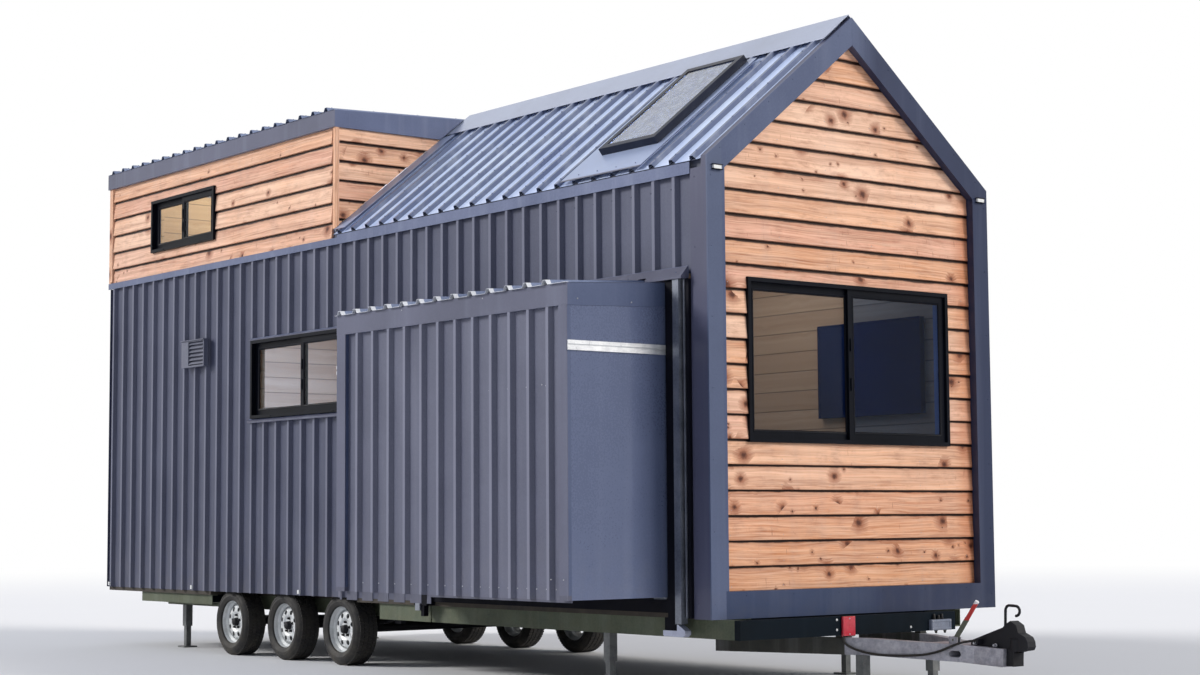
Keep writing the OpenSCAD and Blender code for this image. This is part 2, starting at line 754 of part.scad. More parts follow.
// A sliding window on the -Y side of a wall: an outer frame, and two sashes that overlap,
// one set further in
module slider(back, w, z, h, y) {
    translate([-back, -y, z]) {
        difference() {
            translate([-w / 2 + fit, -15, fit]) cube([w - 2 * fit, frame_d, h - 2 * fit]);
            translate([-w / 2 + frame_w * 0.6, -50, frame_w * 0.6])
                cube([w - frame_w * 1.2, 200, h - frame_w * 1.2]);
        }
        sash(-w / 2 + frame_w * 0.6, frame_w / 2, h, 24);
        sash(-frame_w / 2, w / 2 - frame_w * 0.6, h, 2);
    }
}

// One sash between two distances from the middle, at a depth behind the face of the wall
module sash(x0, x1, h, depth) {
    low = frame_w * 0.6;
    translate([0, depth, 0]) difference() {
        translate([x0, 0, low]) cube([x1 - x0, 21, h - 2 * low]);
        translate([x0 + sash_w, -1, low + sash_w])
            cube([x1 - x0 - 2 * sash_w, 25, h - 2 * low - 2 * sash_w]);
    }
}

module window_frames() {
    color("black") placed() {
        translate([-trim_d, 0, 0]) rotate([0, 0, 90]) slider(0, gable_window_w, gable_window_z,
            gable_window_h, 0);
        both_sides() {
            slider(side_window_x, side_window_w, side_window_z, side_window_h, half_w);
            slider(loft_window_x, loft_window_w, loft_window_z, loft_window_h, half_w - 4);
        }
    }
}

module entry_door() {
    stile = 118;
    color("black") placed() mirror([0, 1, 0]) translate([-door_x, -half_w, floor_z]) {
        difference() {
            translate([-door_w / 2 + fit, -15, fit]) cube([door_w - 2 * fit, frame_d, door_h - 2 * fit]);
            translate([-door_w / 2 + stile, -50, 180])
                cube([door_w - 2 * stile, 200, door_h - 180 - stile]);
            difference() {
                translate([-door_w / 2 + 38, -16, 30]) cube([door_w - 76, 14, door_h - 68]);
                translate([-door_w / 2 + 43, -17, 35]) cube([door_w - 86, 16, door_h - 78]);
            }
        }
        translate([-door_w / 2 + 62, -23, 960]) cube([40, 8, 220]);
        translate([-door_w / 2 + 70, -handle_out, 1060]) cube([24, handle_out - 23, 24]);
        translate([-door_w / 2 + 70, -handle_out, 1062]) cube([140, 16, 20]);
    }
}

// One sheet of glass inside each frame
module window_glass() {
    color("lightblue", 0.4) placed() {
        translate([-trim_d, 0, 0]) rotate([0, 0, 90]) panes(0, gable_window_w, gable_window_z,
            gable_window_h, 0);
        both_sides() {
            panes(side_window_x, side_window_w, side_window_z, side_window_h, half_w);
            panes(loft_window_x, loft_window_w, loft_window_z, loft_window_h, half_w - 4);
        }
        mirror([0, 1, 0]) translate([-door_x - door_w / 2 + 118 + fit, -half_w + 14, floor_z + 180 + fit])
            cube([door_w - 236 - 2 * fit, glass_t, door_h - 298 - 2 * fit]);
        on_slope() translate([-skylight_x - skylight_w / 2 + 45 + fit, skylight_up + 45 + fit,
            skylight_h - 20])
            cube([skylight_w - 90 - 2 * fit, skylight_l - 90 - 2 * fit, 14]);
    }
}

module panes(back, w, z, h, y) {
    low = frame_w * 0.6 + sash_w + fit;
    pane_w = w / 2 + frame_w / 2 - frame_w * 0.6 - 2 * sash_w - 2 * fit;
    for (side = [0, 1]) translate([-back + (side == 0 ? low - w / 2 : w / 2 - low - pane_w),
        -y + (side == 0 ? 30 : 8), z + low])
        cube([pane_w, glass_t, h - 2 * low]);
}

// Louvred vent on the long wall
module wall_vent() {
    w = 387;
    h = 222;
    d = 40;
    blank = 120;
    color("dimgray") placed() translate([-6366 - w / 2, -half_w - d, side_window_z + 461]) {
        difference() {
            cube([w, d, h]);
            translate([blank, -1, 14]) cube([w - blank - 14, d - 5, h - 28]);
        }
        for (i = [0 : 5]) translate([blank - 1, 2, 24 + i * 32]) rotate([-38, 0, 0])
            cube([w - blank - 12, 3, 28]);
        translate([-6, -10, h - 4]) cube([w + 12, d + 10, 6]);
    }
}

// Flat dark panel on the inside of the far wall, seen through the gable window
module wall_screen() {
    color("black") placed() difference() {
        block(470, 1450, room_y - 45, room_y, gable_window_z + 240, gable_window_z + 890);
        block(482, 1438, room_y - 46, room_y - 41, gable_window_z + 256, gable_window_z + 878);
    }
}

// Rubber seal round the opening of the slide-out, clear of it on every side
module slide_seal() {
    z0 = trim_z + 5;
    color([0.08, 0.08, 0.09]) placed() {
        for (side = [0, 1]) translate([side * (-2 * slide_x - slide_l), 0, 0]) mirror([side, 0, 0]) {
            block(slide_x - rack_gap - seal_w, slide_x - rack_gap, -half_w - seal_reach, -wall_y, z0,
                flashing_z - fit);
            block(wrap_l + fit, wrap_l + 30, -half_w - 20, -wall_y, z0, flashing_z - fit);
            block(wrap_l + fit, slide_x - rack_gap - seal_w, -wall_y - seal_back, -wall_y, z0,
                flashing_z - fit);
            flap = side == 0 ? 110 : 36;
            block(slide_x - rack_gap - seal_w, slide_x - rack_gap - seal_w + flap, -half_w - 37, -half_w,
                rail_z + 44, z0 + 1);
        }
        block(opening_x0 + 3, opening_x1 - 3, -half_w, -wall_y, cladding_z, floor_z);
    }
}

// Upright aluminium columns beside the seal, with their feet on the side rail,
// and the slide pads under the floor
module slide_columns() {
    color("lightgray") placed() {
        for (back = [slide_x + 150, slide_x + slide_l / 2, slide_end - 150])
            block(back - 60, back + 60, -wall_y + 10, -room_y, floor_z, slide_z - 0.5);
        for (side = [0, 1]) translate([side * (-2 * slide_x - slide_l), 0, 0]) mirror([side, 0, 0]) {
            column_end = slide_x - rack_gap - seal_w - fit;
            block(column_end - column_w, column_end, -column_y, -wall_y - seal_back, trim_z + 5,
                flashing_z - fit);
            block(column_end - column_w, column_end, -column_y, -half_w, trim_z - 30, trim_z + 6);
            block(wrap_l + 32, wrap_l + 44, -half_w - 26, -wall_y - seal_back, trim_z + 5,
                flashing_z - fit);
        }
        translate([-slide_x - 24, 0, rail_z]) rotate([90, 0, 0]) translate([0, 0, half_w])
            linear_extrude(46) polygon([[0, 16], [12, 9], [178, 9], [199, 24], [199, 45], [168, 64],
                [126, 84], [126, 43.6], [0, 43.6]]);
    }
}

module marker_lights() {
    color("white") placed() {
        both_sides() {
            for (k = lamp_ribs) marker(rib_phase + k * rib_pitch);
            translate([0, -half_w + 42, eave_z - 82]) cube([16, 60, 22]);
        }
    }
}

module marker(back) {
    block(back - 12, back + 12, -half_w - 14, -half_w, cladding_z + 12, cladding_z + 42);
}

module red_lamp() {
    color("crimson") placed() translate([rail_reach, -372, trim_z - 122]) cube([22, 110, 124]);
}

module junction_box() {
    color("lightslategray") placed() translate([rail_reach, 392, trim_z - 112]) cube([22, 178, 66]);
}

// A tube along the route of the cable, with one ring of eight corners at each point
module brake_cable() {
    sides = 8;
    n = len(cable_points);
    ahead = [for (i = [0 : n - 1]) cable_points[min(i + 1, n - 1)] - cable_points[max(i - 1, 0)]];
    ring = [for (i = [0 : n - 1])
        let (t = ahead[i] / norm(ahead[i]), u = cross([0, 0, 1], t) / norm(cross([0, 0, 1],
            t)), w = cross(t, u))
        for (k = [0 : sides - 1]) cable_points[i] + cable_d / 2 * (cos(k * 360 / sides) * u + sin(k * 360 / sides) * w)];
    faces = concat(
        [[for (k = [0 : sides - 1]) k]],
        [for (i = [0 : n - 2]) for (k = [0 : sides - 1])
            [i * sides + k, (i + 1) * sides + k, (i + 1) * sides + (k + 1) % sides,
            i * sides + (k + 1) % sides]],
        [[for (k = [sides - 1 : -1 : 0]) (n - 1) * sides + k]]);
    color([0.05, 0.05, 0.05]) placed() polyhedron(ring, faces);
}

// Two end walls, the wall behind the ribbed face and the floor between them
module slide_walls() {
    color("slategray") placed() {
        block(slide_x + slide_t + fit, slide_end - slide_t - fit, -slide_wall_y + slide_t + fit, -slide_in,
              slide_z, slide_z + slide_t);
        for (back = [slide_x, slide_end - slide_t])
            translate([-back - slide_t, 0, 0]) rotate([90, 0, 90]) linear_extrude(slide_t)
                polygon([[-slide_wall_y, slide_z], [-slide_in, slide_z],
                         [-slide_in, slide_top + (slide_y - slide_in) * slide_drop - slide_t],
                         [-slide_wall_y, slide_top + rib_h * slide_drop - slide_t]]);
        block(slide_x + slide_t + fit, slide_end - slide_t - fit, -slide_wall_y,
            -slide_wall_y + slide_t, slide_z, slide_top - slide_t);
    }
}

// Sloping roof of the slide-out, with its ribbed sheet running out over the fascia
module slide_roof() {
    color("lightsteelblue") placed() {
        translate([-slide_end, 0, 0]) rotate([90, 0, 90]) linear_extrude(slide_l) polygon([
            [-slide_wall_y, slide_top + rib_h * slide_drop - slide_t + fit],
            [-slide_in, slide_top + (slide_y - slide_in) * slide_drop - slide_t + fit],
            [-slide_in, slide_top + (slide_y - slide_in) * slide_drop - 2],
            [-slide_wall_y, slide_top + rib_h * slide_drop - 2]]);
        translate([0, -slide_y, slide_top + 0.4]) rotate([slide_pitch, 0, 0])
            slope_ribs(slide_x, slide_end, -slide_over, (slide_y - slide_in) / cos(slide_pitch), 0,
                slide_phase);
    }
}

module slide_cladding() {
    color("dimgray") placed()
        upright_ribs(slide_x + 80, slide_end - slide_corner, slide_wall_y, slide_z, slide_top - slide_band,
            slide_phase);
}

// Fascia, corner strips and the skirt under the ribbed face
module slide_trim() {
    color("slategray") placed() {
        block(slide_x, slide_end, -slide_y, -slide_wall_y - fit, slide_top - slide_band + fit, slide_top);
        block(slide_x, slide_x + 80 - fit, -slide_y, -slide_wall_y - fit, slide_z, slide_top - slide_band);
        block(slide_end - slide_corner + fit, slide_end, -slide_y, -slide_wall_y - fit, slide_z,
            slide_top - slide_band);
        for (back = [slide_x - 4, slide_end]) end_band(back);
        slide_skirt();
    }
}

// The band along the top of an end wall of the slide-out
module end_band(back) {
    across(back, back + 4) polygon([
        [-slide_y, slide_top - slide_band - 2], [-slide_in, slide_top - slide_band + 34],
        [-slide_in, slide_top + (slide_y - slide_in) * slide_drop - 2.4], [-slide_y, slide_top - 2.4]]);
}

// The strip under the ribbed face, lower along its rear part and notched below each rib
module slide_skirt() {
    step = slide_end - 1085;
    difference() {
        block(step, slide_end, -slide_wall_y, -slide_wall_y + 4, slide_z - 56, slide_z);
        for (c = [first_rib(slide_x + 80, slide_phase) : rib_pitch : slide_end])
            block(c - 32, c + 32, -slide_y, -slide_in, 0, slide_z - 2);
    }
    block(slide_x, step - 1, -slide_wall_y, -slide_wall_y + 4, slide_z - 14, slide_z);
}

// Twin rack bars on both end walls
module slide_racks() {
    color("silver") placed() {
        rack(slide_x - rack_t);
        translate([-2 * slide_x - slide_l, 0, 0]) mirror([1, 0, 0]) rack(slide_x - rack_t);
    }
}

module rack(back) {
    block(back, back + rack_t, -slide_y + 4, -slide_in, rack_z + 7, rack_z + 29);
    block(back, back + rack_t, -slide_y + 4, -slide_in, rack_z - 29, rack_z - 7);
    block(back + rack_t - 3, back + rack_t, -slide_y + 4, -slide_in, rack_z - 7, rack_z + 7);
}

// A tyre and its steel rim, with the hub side at -Y
module wheel(back, side) {
    bead = rim_d / 2 - 14;
    r = tyre_d / 2;
    placed() mirror([0, side, 0]) translate([-back, -track_y, axle_z]) rotate([90, 0, 0]) {
        color("black") rotate_extrude() translate([0, 0])
            polygon([[bead + fit, -tyre_w / 2 + 22], [bead + 24, -tyre_w / 2 + 6], [r - 45, -tyre_w / 2],
                     [r - 16, -tyre_w / 2 + 8], [r - 3, -tyre_w / 2 + 26], [r, 0], [r - 3, tyre_w / 2 - 26],
                     [r - 16, tyre_w / 2 - 8], [r - 45, tyre_w / 2], [bead + 24, tyre_w / 2 - 6],
                     [bead + fit, tyre_w / 2 - 22]]);
        color("silver") difference() {
            rotate_extrude()
                polygon([[0, 46], [30, 44], [34, 34], [60, 34], [110, 20], [bead - 20, 60], [bead - 6, 80],
                         [bead, tyre_w / 2 - 24], [bead, -tyre_w / 2 + 24], [bead - 8, -tyre_w / 2 + 24],
                         [bead - 22, 40], [112, 8], [60, 20], [60, -40], [hub_d / 2 + fit, -40],
                         [hub_d / 2 + fit, 30], [0, 30]]);
            for (a = [0 : 45 : 315]) rotate([0, 0, a]) translate([118, 0, -10]) cylinder(r = 14, h = 90);
        }
    }
}

module wheel_front_left() wheel(axles_x[0], 0);
module wheel_middle_left() wheel(axles_x[1], 0);
module wheel_rear_left() wheel(axles_x[2], 0);
module wheel_front_right() wheel(axles_x[0], 1);
module wheel_middle_right() wheel(axles_x[1], 1);
module wheel_rear_right() wheel(axles_x[2], 1);

// Handbrake lever on its pin
module brake_lever() {
    lean = 38;
    color("firebrick") placed() nose_down() translate([lever_x, -82, arm_top + 24]) {
        translate([0, -19, 0]) rotate([-90, 0, 0]) cylinder(d = 14, h = 38);
        rotate([0, lean - dip, 0]) {
            translate([-14, -5, 0]) cube([28, 10, 160]);
            translate([0, 0, 147]) cylinder(d = 25, h = 140);
        }
    }
}

chassis_rails();
cross_members();
drawbar();
coupling();
running_gear();
stabiliser_legs();
floor_deck();
near_wall();
far_wall();
end_walls();
wall_cladding();
gable_boards();
loft_boards();
gable_frame();
roof_panels();
loft_roof();
roof_sheets();
ridge_cap();
flashings();
loft_fascia();
skylight_frame();
window_frames();
entry_door();
window_glass();
wall_vent();
wall_screen();
slide_seal();
slide_columns();
marker_lights();
red_lamp();
junction_box();
brake_cable();
slide_walls();
slide_roof();
slide_cladding();
slide_trim();
slide_racks();
wheel_front_left();
wheel_middle_left();
wheel_rear_left();
wheel_front_right();
wheel_middle_right();
wheel_rear_right();
brake_lever();
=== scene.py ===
import math
import random
import bpy
import bmesh
from mathutils import Matrix, Vector


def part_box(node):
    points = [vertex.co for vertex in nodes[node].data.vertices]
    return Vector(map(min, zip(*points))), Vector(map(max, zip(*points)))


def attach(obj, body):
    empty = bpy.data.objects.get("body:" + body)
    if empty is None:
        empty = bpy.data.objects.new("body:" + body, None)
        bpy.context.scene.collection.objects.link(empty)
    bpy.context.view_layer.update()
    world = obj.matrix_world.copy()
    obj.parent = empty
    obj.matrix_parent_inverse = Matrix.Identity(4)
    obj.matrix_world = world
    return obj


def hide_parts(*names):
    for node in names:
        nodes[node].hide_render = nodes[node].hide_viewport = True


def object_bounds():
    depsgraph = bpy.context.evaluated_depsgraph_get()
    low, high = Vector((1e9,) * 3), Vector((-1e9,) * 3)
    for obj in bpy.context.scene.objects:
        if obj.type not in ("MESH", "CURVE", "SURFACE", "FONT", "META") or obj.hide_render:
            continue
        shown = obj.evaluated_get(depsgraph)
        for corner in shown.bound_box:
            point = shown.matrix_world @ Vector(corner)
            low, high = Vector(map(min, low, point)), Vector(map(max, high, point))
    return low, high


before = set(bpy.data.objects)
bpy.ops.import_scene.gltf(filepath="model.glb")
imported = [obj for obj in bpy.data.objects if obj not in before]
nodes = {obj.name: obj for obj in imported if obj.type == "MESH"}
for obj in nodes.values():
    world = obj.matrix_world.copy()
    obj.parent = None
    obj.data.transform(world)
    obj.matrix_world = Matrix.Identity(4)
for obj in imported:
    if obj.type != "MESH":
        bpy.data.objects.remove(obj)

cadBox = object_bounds()
trimLow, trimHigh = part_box("gable_frame")
frontX, midY = trimHigh.x, (trimLow.y + trimHigh.y) / 2   # front face of the gable trim, centre line of the house
halfWidth = (trimHigh.y - trimLow.y) / 2
slope = 39                                                # of the front roof, in degrees
pitch = math.radians(slope)
eave = trimHigh.z - halfWidth * math.tan(pitch)
circle = math.tau


def house(x, y, z):
    # x is measured from the front trim, y from the centre line, z from the ground
    return Vector((frontX + x, midY + y, z))


def linked(name, data):
    obj = bpy.data.objects.new(name, data)
    bpy.context.scene.collection.objects.link(obj)
    return obj


# Camera

cameraFit = {"place": (9.355, -9.424, 1.061), "yaw": 141.7014, "pitch": 4.860, "roll": -0.385,
             "focalPixels": 2129.3, "pictureWidth": 1200, "sensor": 36, "farthest": 400}


def makeCamera():
    yaw, rise, roll = (math.radians(cameraFit[key]) for key in ("yaw", "pitch", "roll"))
    ahead = Vector((math.cos(yaw) * math.cos(rise), math.sin(yaw) * math.cos(rise), math.sin(rise)))
    level = Vector((math.sin(yaw), -math.cos(yaw), 0))
    above = level.cross(ahead)
    right = level * math.cos(roll) + above * math.sin(roll)
    up = above * math.cos(roll) - level * math.sin(roll)
    lens = bpy.data.cameras.new("photoCamera")
    lens.sensor_width = cameraFit["sensor"]
    lens.lens = cameraFit["focalPixels"] / cameraFit["pictureWidth"] * cameraFit["sensor"]
    lens.clip_end = cameraFit["farthest"]
    camera = linked("photoCamera", lens)
    turn = Matrix((right, up, -ahead)).transposed().to_4x4()
    camera.matrix_world = Matrix.Translation(house(*cameraFit["place"])) @ turn
    bpy.context.scene.camera = camera


makeCamera()
print("camera placed")


# Node trees and shared shader effects

def srgb(red, green, blue):
    return tuple(c / 255 / 12.92 if c < 11 else ((c / 255 + 0.055) / 1.055) ** 2.4 for c in (red, green, blue)) + (1.0,)


class Wiring:
    # a node tree with short calls; a colour is three sRGB numbers, and a call returns sockets
    def __init__(self, tree):
        self.tree = tree

    def put(self, value, socket):
        if isinstance(value, bpy.types.NodeSocket):
            self.tree.links.new(value, socket)
        elif socket.type == "RGBA" and len(value) == 3:
            socket.default_value = srgb(*value)
        else:
            socket.default_value = value

    def fill(self, sockets, **values):
        for label, value in values.items():
            self.put(value, sockets[label.replace("_", " ")])

    def node(self, kind, inputs=None, **options):
        made = self.tree.nodes.new(kind)
        for key, value in options.items():
            setattr(made, key, value)
        for key, value in (inputs or {}).items():
            self.put(value, made.inputs[key])
        return made.outputs

    def group(self, used, **inputs):
        made = self.tree.nodes.new("ShaderNodeGroup")
        made.node_tree = used
        self.fill(made.inputs, **inputs)
        return made.outputs

    def calc(self, operation, a, b=0.0, clamp=False):
        return self.node("ShaderNodeMath", {0: a, 1: b}, operation=operation, use_clamp=clamp)[0]

    def times(self, a, b, clamp=False):
        return self.calc("MULTIPLY", a, b, clamp)

    def plus(self, a, b, clamp=False):
        return self.calc("ADD", a, b, clamp)

    def minus(self, a, b):
        return self.calc("SUBTRACT", a, b)

    def over(self, a, limit):
        return self.calc("GREATER_THAN", a, limit)

    def either(self, a, b):
        return self.calc("MAXIMUM", a, b)

    def mix(self, factor, a, b):
        return self.node("ShaderNodeMix", {0: factor, 6: a, 7: b}, data_type="RGBA")[2]

    def layers(self, colour, *coats):
        # coats are pairs of a mask and a colour
        for mask, coat in coats:
            colour = self.mix(mask, colour, coat)
        return colour

    def remap(self, value, low, high, toLow=0.0, toHigh=1.0):
        return self.node("ShaderNodeMapRange", {0: value, 1: low, 2: high, 3: toLow, 4: toHigh})[0]

    def noise(self, vector, scale, detail, roughness=0.55, output=0):
        return self.node("ShaderNodeTexNoise", {"Vector": vector, "Scale": scale, "Detail": detail,
                                                "Roughness": roughness})[output]

    def stretched(self, vector, scale):
        return self.node("ShaderNodeMapping", {"Vector": vector, "Scale": scale})[0]

    def vector(self, x=0.0, y=0.0, z=0.0):
        return self.node("ShaderNodeCombineXYZ", {0: x, 1: y, 2: z})[0]

    def vectors(self, operation, a, b):
        return self.node("ShaderNodeVectorMath", {0: a, 1: b}, operation=operation)[0]

    def split(self, vector):
        return self.node("ShaderNodeSeparateXYZ", {0: vector})

    def place(self):
        return self.node("ShaderNodeTexCoord")["Object"]

    def bump(self, height, strength, distance):
        return self.node("ShaderNodeBump", {"Height": height, "Strength": strength, "Distance": distance})[0]

    def seenRays(self):
        path = self.node("ShaderNodeLightPath")
        return self.either(path["Is Camera Ray"], self.either(path["Is Glossy Ray"], path["Is Transmission Ray"]))


def newTree(kind, name, inputs, outputs):
    # a socket goes with its default, or with the name of its type
    net = Wiring(bpy.data.node_groups.new(name, kind))
    for direction, sockets in (("INPUT", inputs), ("OUTPUT", outputs)):
        for label, value in sockets.items():
            typeName = value if isinstance(value, str) else "Float"
            socket = net.tree.interface.new_socket(label, in_out=direction, socket_type="NodeSocket" + typeName)
            if typeName != value:
                socket.default_value = value
    return net, net.node("NodeGroupInput"), net.tree.nodes.new("NodeGroupOutput").inputs


def floats(*labels):
    return dict.fromkeys(labels, "Float")


def makeWeathering():
    # slow tone changes, faint upright streaks, and the slight waviness of sheet metal
    net, given, result = newTree("ShaderNodeTree", "weathering", {
        "Vector": "Vector", "Patch Scale": 1.6, "Streak Scale": 7.0}, floats("Tone", "Streak", "Height"))
    patches = net.noise(given["Vector"], given["Patch Scale"], 4)
    fine = net.noise(given["Vector"], 85.0, 2)
    lines = net.noise(net.stretched(given["Vector"], (1, 1, 0.045)), given["Streak Scale"], 4, 0.6)
    net.fill(result, Tone=net.plus(net.times(patches, 0.7), net.times(fine, 0.3)), Streak=net.remap(lines, 0.5, 0.74),
             Height=net.plus(patches, net.times(fine, 0.04)))
    return net.tree


def makeSplash():
    # dust and splashes that fade out above the ground
    net, given, result = newTree("ShaderNodeTree", "splash", {
        "Vector": "Vector", "Bottom": 0.25, "Top": 0.95}, floats("Mask"))
    fade = net.remap(net.split(given["Vector"])[2], given["Bottom"], given["Top"], 1.0, 0.0)
    speckle = net.remap(net.noise(given["Vector"], 9.0, 8, 0.7), 0.38, 0.68)
    net.fill(result, Mask=net.times(fade, speckle, True))
    return net.tree


def makeWoodGrain():
    # grain, bands, knots with their halo and small upright marks, from the board's own UV map in metres
    net, given, result = newTree("ShaderNodeTree", "woodGrain", {"Vector": "Vector", "Knots": 0.5},
                                 floats("Grain", "Band", "Knot", "Halo", "Marks", "Height"))
    vector = given["Vector"]

    def knots(scale, size, share):
        cells = net.node("ShaderNodeTexVoronoi", {"Vector": net.stretched(warped, (0.8, 1.0, 1)), "Scale": scale},
                         voronoi_dimensions="2D")
        chance, width = net.node("ShaderNodeSeparateColor", {0: cells["Color"]})[:2]
        ratio = net.calc("DIVIDE", cells["Distance"], net.remap(width, 0.0, 1.0, size * 0.45, size))
        there = net.over(net.plus(chance, net.times(patchy, share)), 1.0)
        return (net.times(net.remap(ratio, 0.35, 1.15, 1.0, 0.0), there),
                net.times(net.remap(ratio, 0.8, 3.2, 1.0, 0.0), there))

    wobble = net.noise(vector, 34.0, 4.0, 0.7, output=1)
    warped = net.vectors("ADD", vector, net.vectors("MULTIPLY", wobble, (0.03, 0.03, 0.0)))
    patchy = net.times(given["Knots"], net.remap(net.noise(vector, 1.3, 1), 0.38, 0.62, 0.15, 1.5))
    (large, largeHalo), (small, smallHalo) = knots(6.6, 0.16, 0.74), knots(19.0, 0.17, 0.14)
    knot = net.either(large, small)
    halo = net.either(largeHalo, net.times(smallHalo, 0.7))
    waves = net.vectors("MULTIPLY", net.noise(vector, 1.6, 2.0, 0.5, output=1), (0.0, 0.04, 0.0))
    flow = net.vectors("ADD", net.vectors("ADD", vector, net.vector(y=net.times(halo, 0.02))), waves)
    grain = net.noise(net.stretched(flow, (2.2, 120, 1)), 1.0, 6, 0.65)
    band = net.noise(net.stretched(flow, (0.7, 24, 1)), 1.0, 3, 0.55)
    marks = net.times(net.remap(net.noise(net.stretched(vector, (95, 13, 1)), 1.0, 2, 0.5), 0.66, 0.72),
                      net.remap(net.noise(vector, 3.4, 2), 0.52, 0.62))
    net.fill(result, Grain=net.remap(grain, 0.36, 0.66), Band=net.remap(band, 0.34, 0.68), Knot=knot, Halo=halo,
             Marks=marks, Height=net.minus(grain, net.times(knot, 0.4)))
    return net.tree


weathering, splash, woodGrain = makeWeathering(), makeSplash(), makeWoodGrain()


# Materials

def newMaterial(name):
    material = bpy.data.materials.new(name)
    material.use_nodes = True
    net = Wiring(material.node_tree)
    net.tree.nodes.clear()
    shader = net.tree.nodes.new("ShaderNodeBsdfPrincipled")
    net.tree.links.new(shader.outputs[0], net.tree.nodes.new("ShaderNodeOutputMaterial").inputs[0])
    return material, net, shader


def coated(name, dark, light, rough=(0.32, 0.5), metallic=0.0, streak=0.12, streakColour=(190, 192, 200), dirt=0.3,
           dirtColour=(120, 112, 98), dirtTop=0.95, patch=1.6, wave=0.004, coat=0.0, specular=0.32, crest=None,
           zones=()):
    # crest is (tilt, level, colour, amount) of painted light on the ribs, a painted highlight on the wall sheets' rib
    # tops and painted shade over the roof's ribs; each zone (axis, from, to, colour, fade) has its own paint, which on
    # some sheets is painted light and shade
    material, net, shader = newMaterial(name)
    vector = net.place()
    worn = net.group(weathering, Vector=vector, Patch_Scale=patch)
    mud = net.group(splash, Vector=vector, Top=dirtTop)["Mask"]
    tone = net.remap(worn["Tone"], 0.32, 0.68)
    colour = net.mix(tone, dark, light)
    for axis, start, end, other, *fade in zones:
        along = net.split(vector)[axis]
        after = net.remap(along, start - fade[0], start) if fade else net.over(along, start)
        inside = net.times(after, net.calc("LESS_THAN", along, end))
        colour = net.mix(inside, colour, net.mix(tone, tuple(c * 0.88 for c in other), other))
    if crest:       # painted light on the ribs, by how far a point stands out from the centre line, along the slope's own normal
        tilt, level, paintedRibLightColour, amount = crest
        x, y, z = net.split(vector)
        out = net.plus(net.times(net.calc("ABSOLUTE", net.minus(y, midY)), math.sin(math.radians(tilt))),
                       net.times(z, math.cos(math.radians(tilt))))
        colour = net.mix(net.times(net.remap(out, level - 0.003, level), amount), colour, paintedRibLightColour)
    colour = net.layers(colour, (net.times(worn["Streak"], streak), streakColour), (net.times(mud, dirt), dirtColour))
    net.fill(shader.inputs, Base_Color=colour, Metallic=metallic, Specular_IOR_Level=specular, Coat_Weight=coat,
             Roughness=net.plus(net.remap(tone, 0, 1, *rough), net.times(mud, 0.3), True),
             Normal=net.bump(worn["Height"], 0.35, wave))
    return material


def cedarMaterial():
    pink, light, orange, dark = (218, 158, 136), (250, 212, 184), (212, 140, 86), (138, 76, 46)
    knotBrown, haloBrown, lapShadowBlack = (70, 32, 20), (140, 78, 50), (26, 11, 8)
    greyed, fresh = (164, 148, 144), (190, 104, 48)
    material, net, shader = newMaterial("cedarLapBoards")
    board = net.node("ShaderNodeUVMap", uv_map="along")[0]
    tint, knots, height = net.node("ShaderNodeSeparateColor", {
        0: net.node("ShaderNodeAttribute", attribute_name="boardTone")["Color"]})
    grain = net.group(woodGrain, Vector=board, Knots=knots)
    place = net.place()
    x, y, z = net.split(place)
    blotch = net.noise(net.stretched(board, (5.0, 15, 1)), 1.0, 5, 0.7)
    besideTrim = net.remap(y, midY + halfWidth - 0.30, midY + halfWidth - 0.15, 0.0, 0.55)
    weather = net.group(weathering, Vector=place, Patch_Scale=2.2)
    lapShadowWidening = net.times(net.remap(z, 1.4, 2.6), 0.035)        # the painted lap shadow widens higher up
    lap = net.plus(height, net.plus(lapShadowWidening, net.remap(net.noise(board, 5.0, 3, 0.6), 0.3, 0.7, -0.02, 0.03)))
    colour = net.layers(
        net.mix(net.remap(tint, 0.0, 0.6), pink, light),
        (net.remap(tint, 0.62, 1.0, 0.0, 0.8), orange),
        (net.remap(net.noise(place, 0.9, 3), 0.42, 0.7, 0.0, 0.55), orange),
        (net.times(net.remap(z, 0.9, 1.6, 1.0, 0.0), 0.8), orange),      # more orange towards the sill
        (net.remap(blotch, 0.5, 0.68, 0.0, 0.55), haloBrown),
        (net.times(grain["Band"], 0.68), dark),
        (net.times(grain["Grain"], 0.6), light),
        (net.times(besideTrim, net.over(x, frontX - 0.2)), fresh),
        (net.times(weather["Streak"], 0.16), greyed),
        (net.times(grain["Halo"], 0.85), haloBrown),
        (net.times(grain["Marks"], 0.7), haloBrown),
        (net.times(grain["Knot"], 0.95), knotBrown),
        (net.remap(height, 0.0, 0.07, 0.35, 0.0), dark),                 # darker towards each board's butt edge
        # painted shadow: darker towards the top of each board, under the next board's butt
        (net.remap(lap, 0.74, 0.92, 0.0, 0.34), dark),
        (net.remap(lap, 0.885, 0.925, 0.0, 0.96), lapShadowBlack))             # painted shadow in the lap, with the dirt that stays there
    net.fill(shader.inputs, Base_Color=colour, Roughness=net.remap(grain["Grain"], 0, 1, 0.5, 0.72),
             Specular_IOR_Level=0.25, Normal=net.bump(grain["Height"], 0.5, 0.0012))
    return material


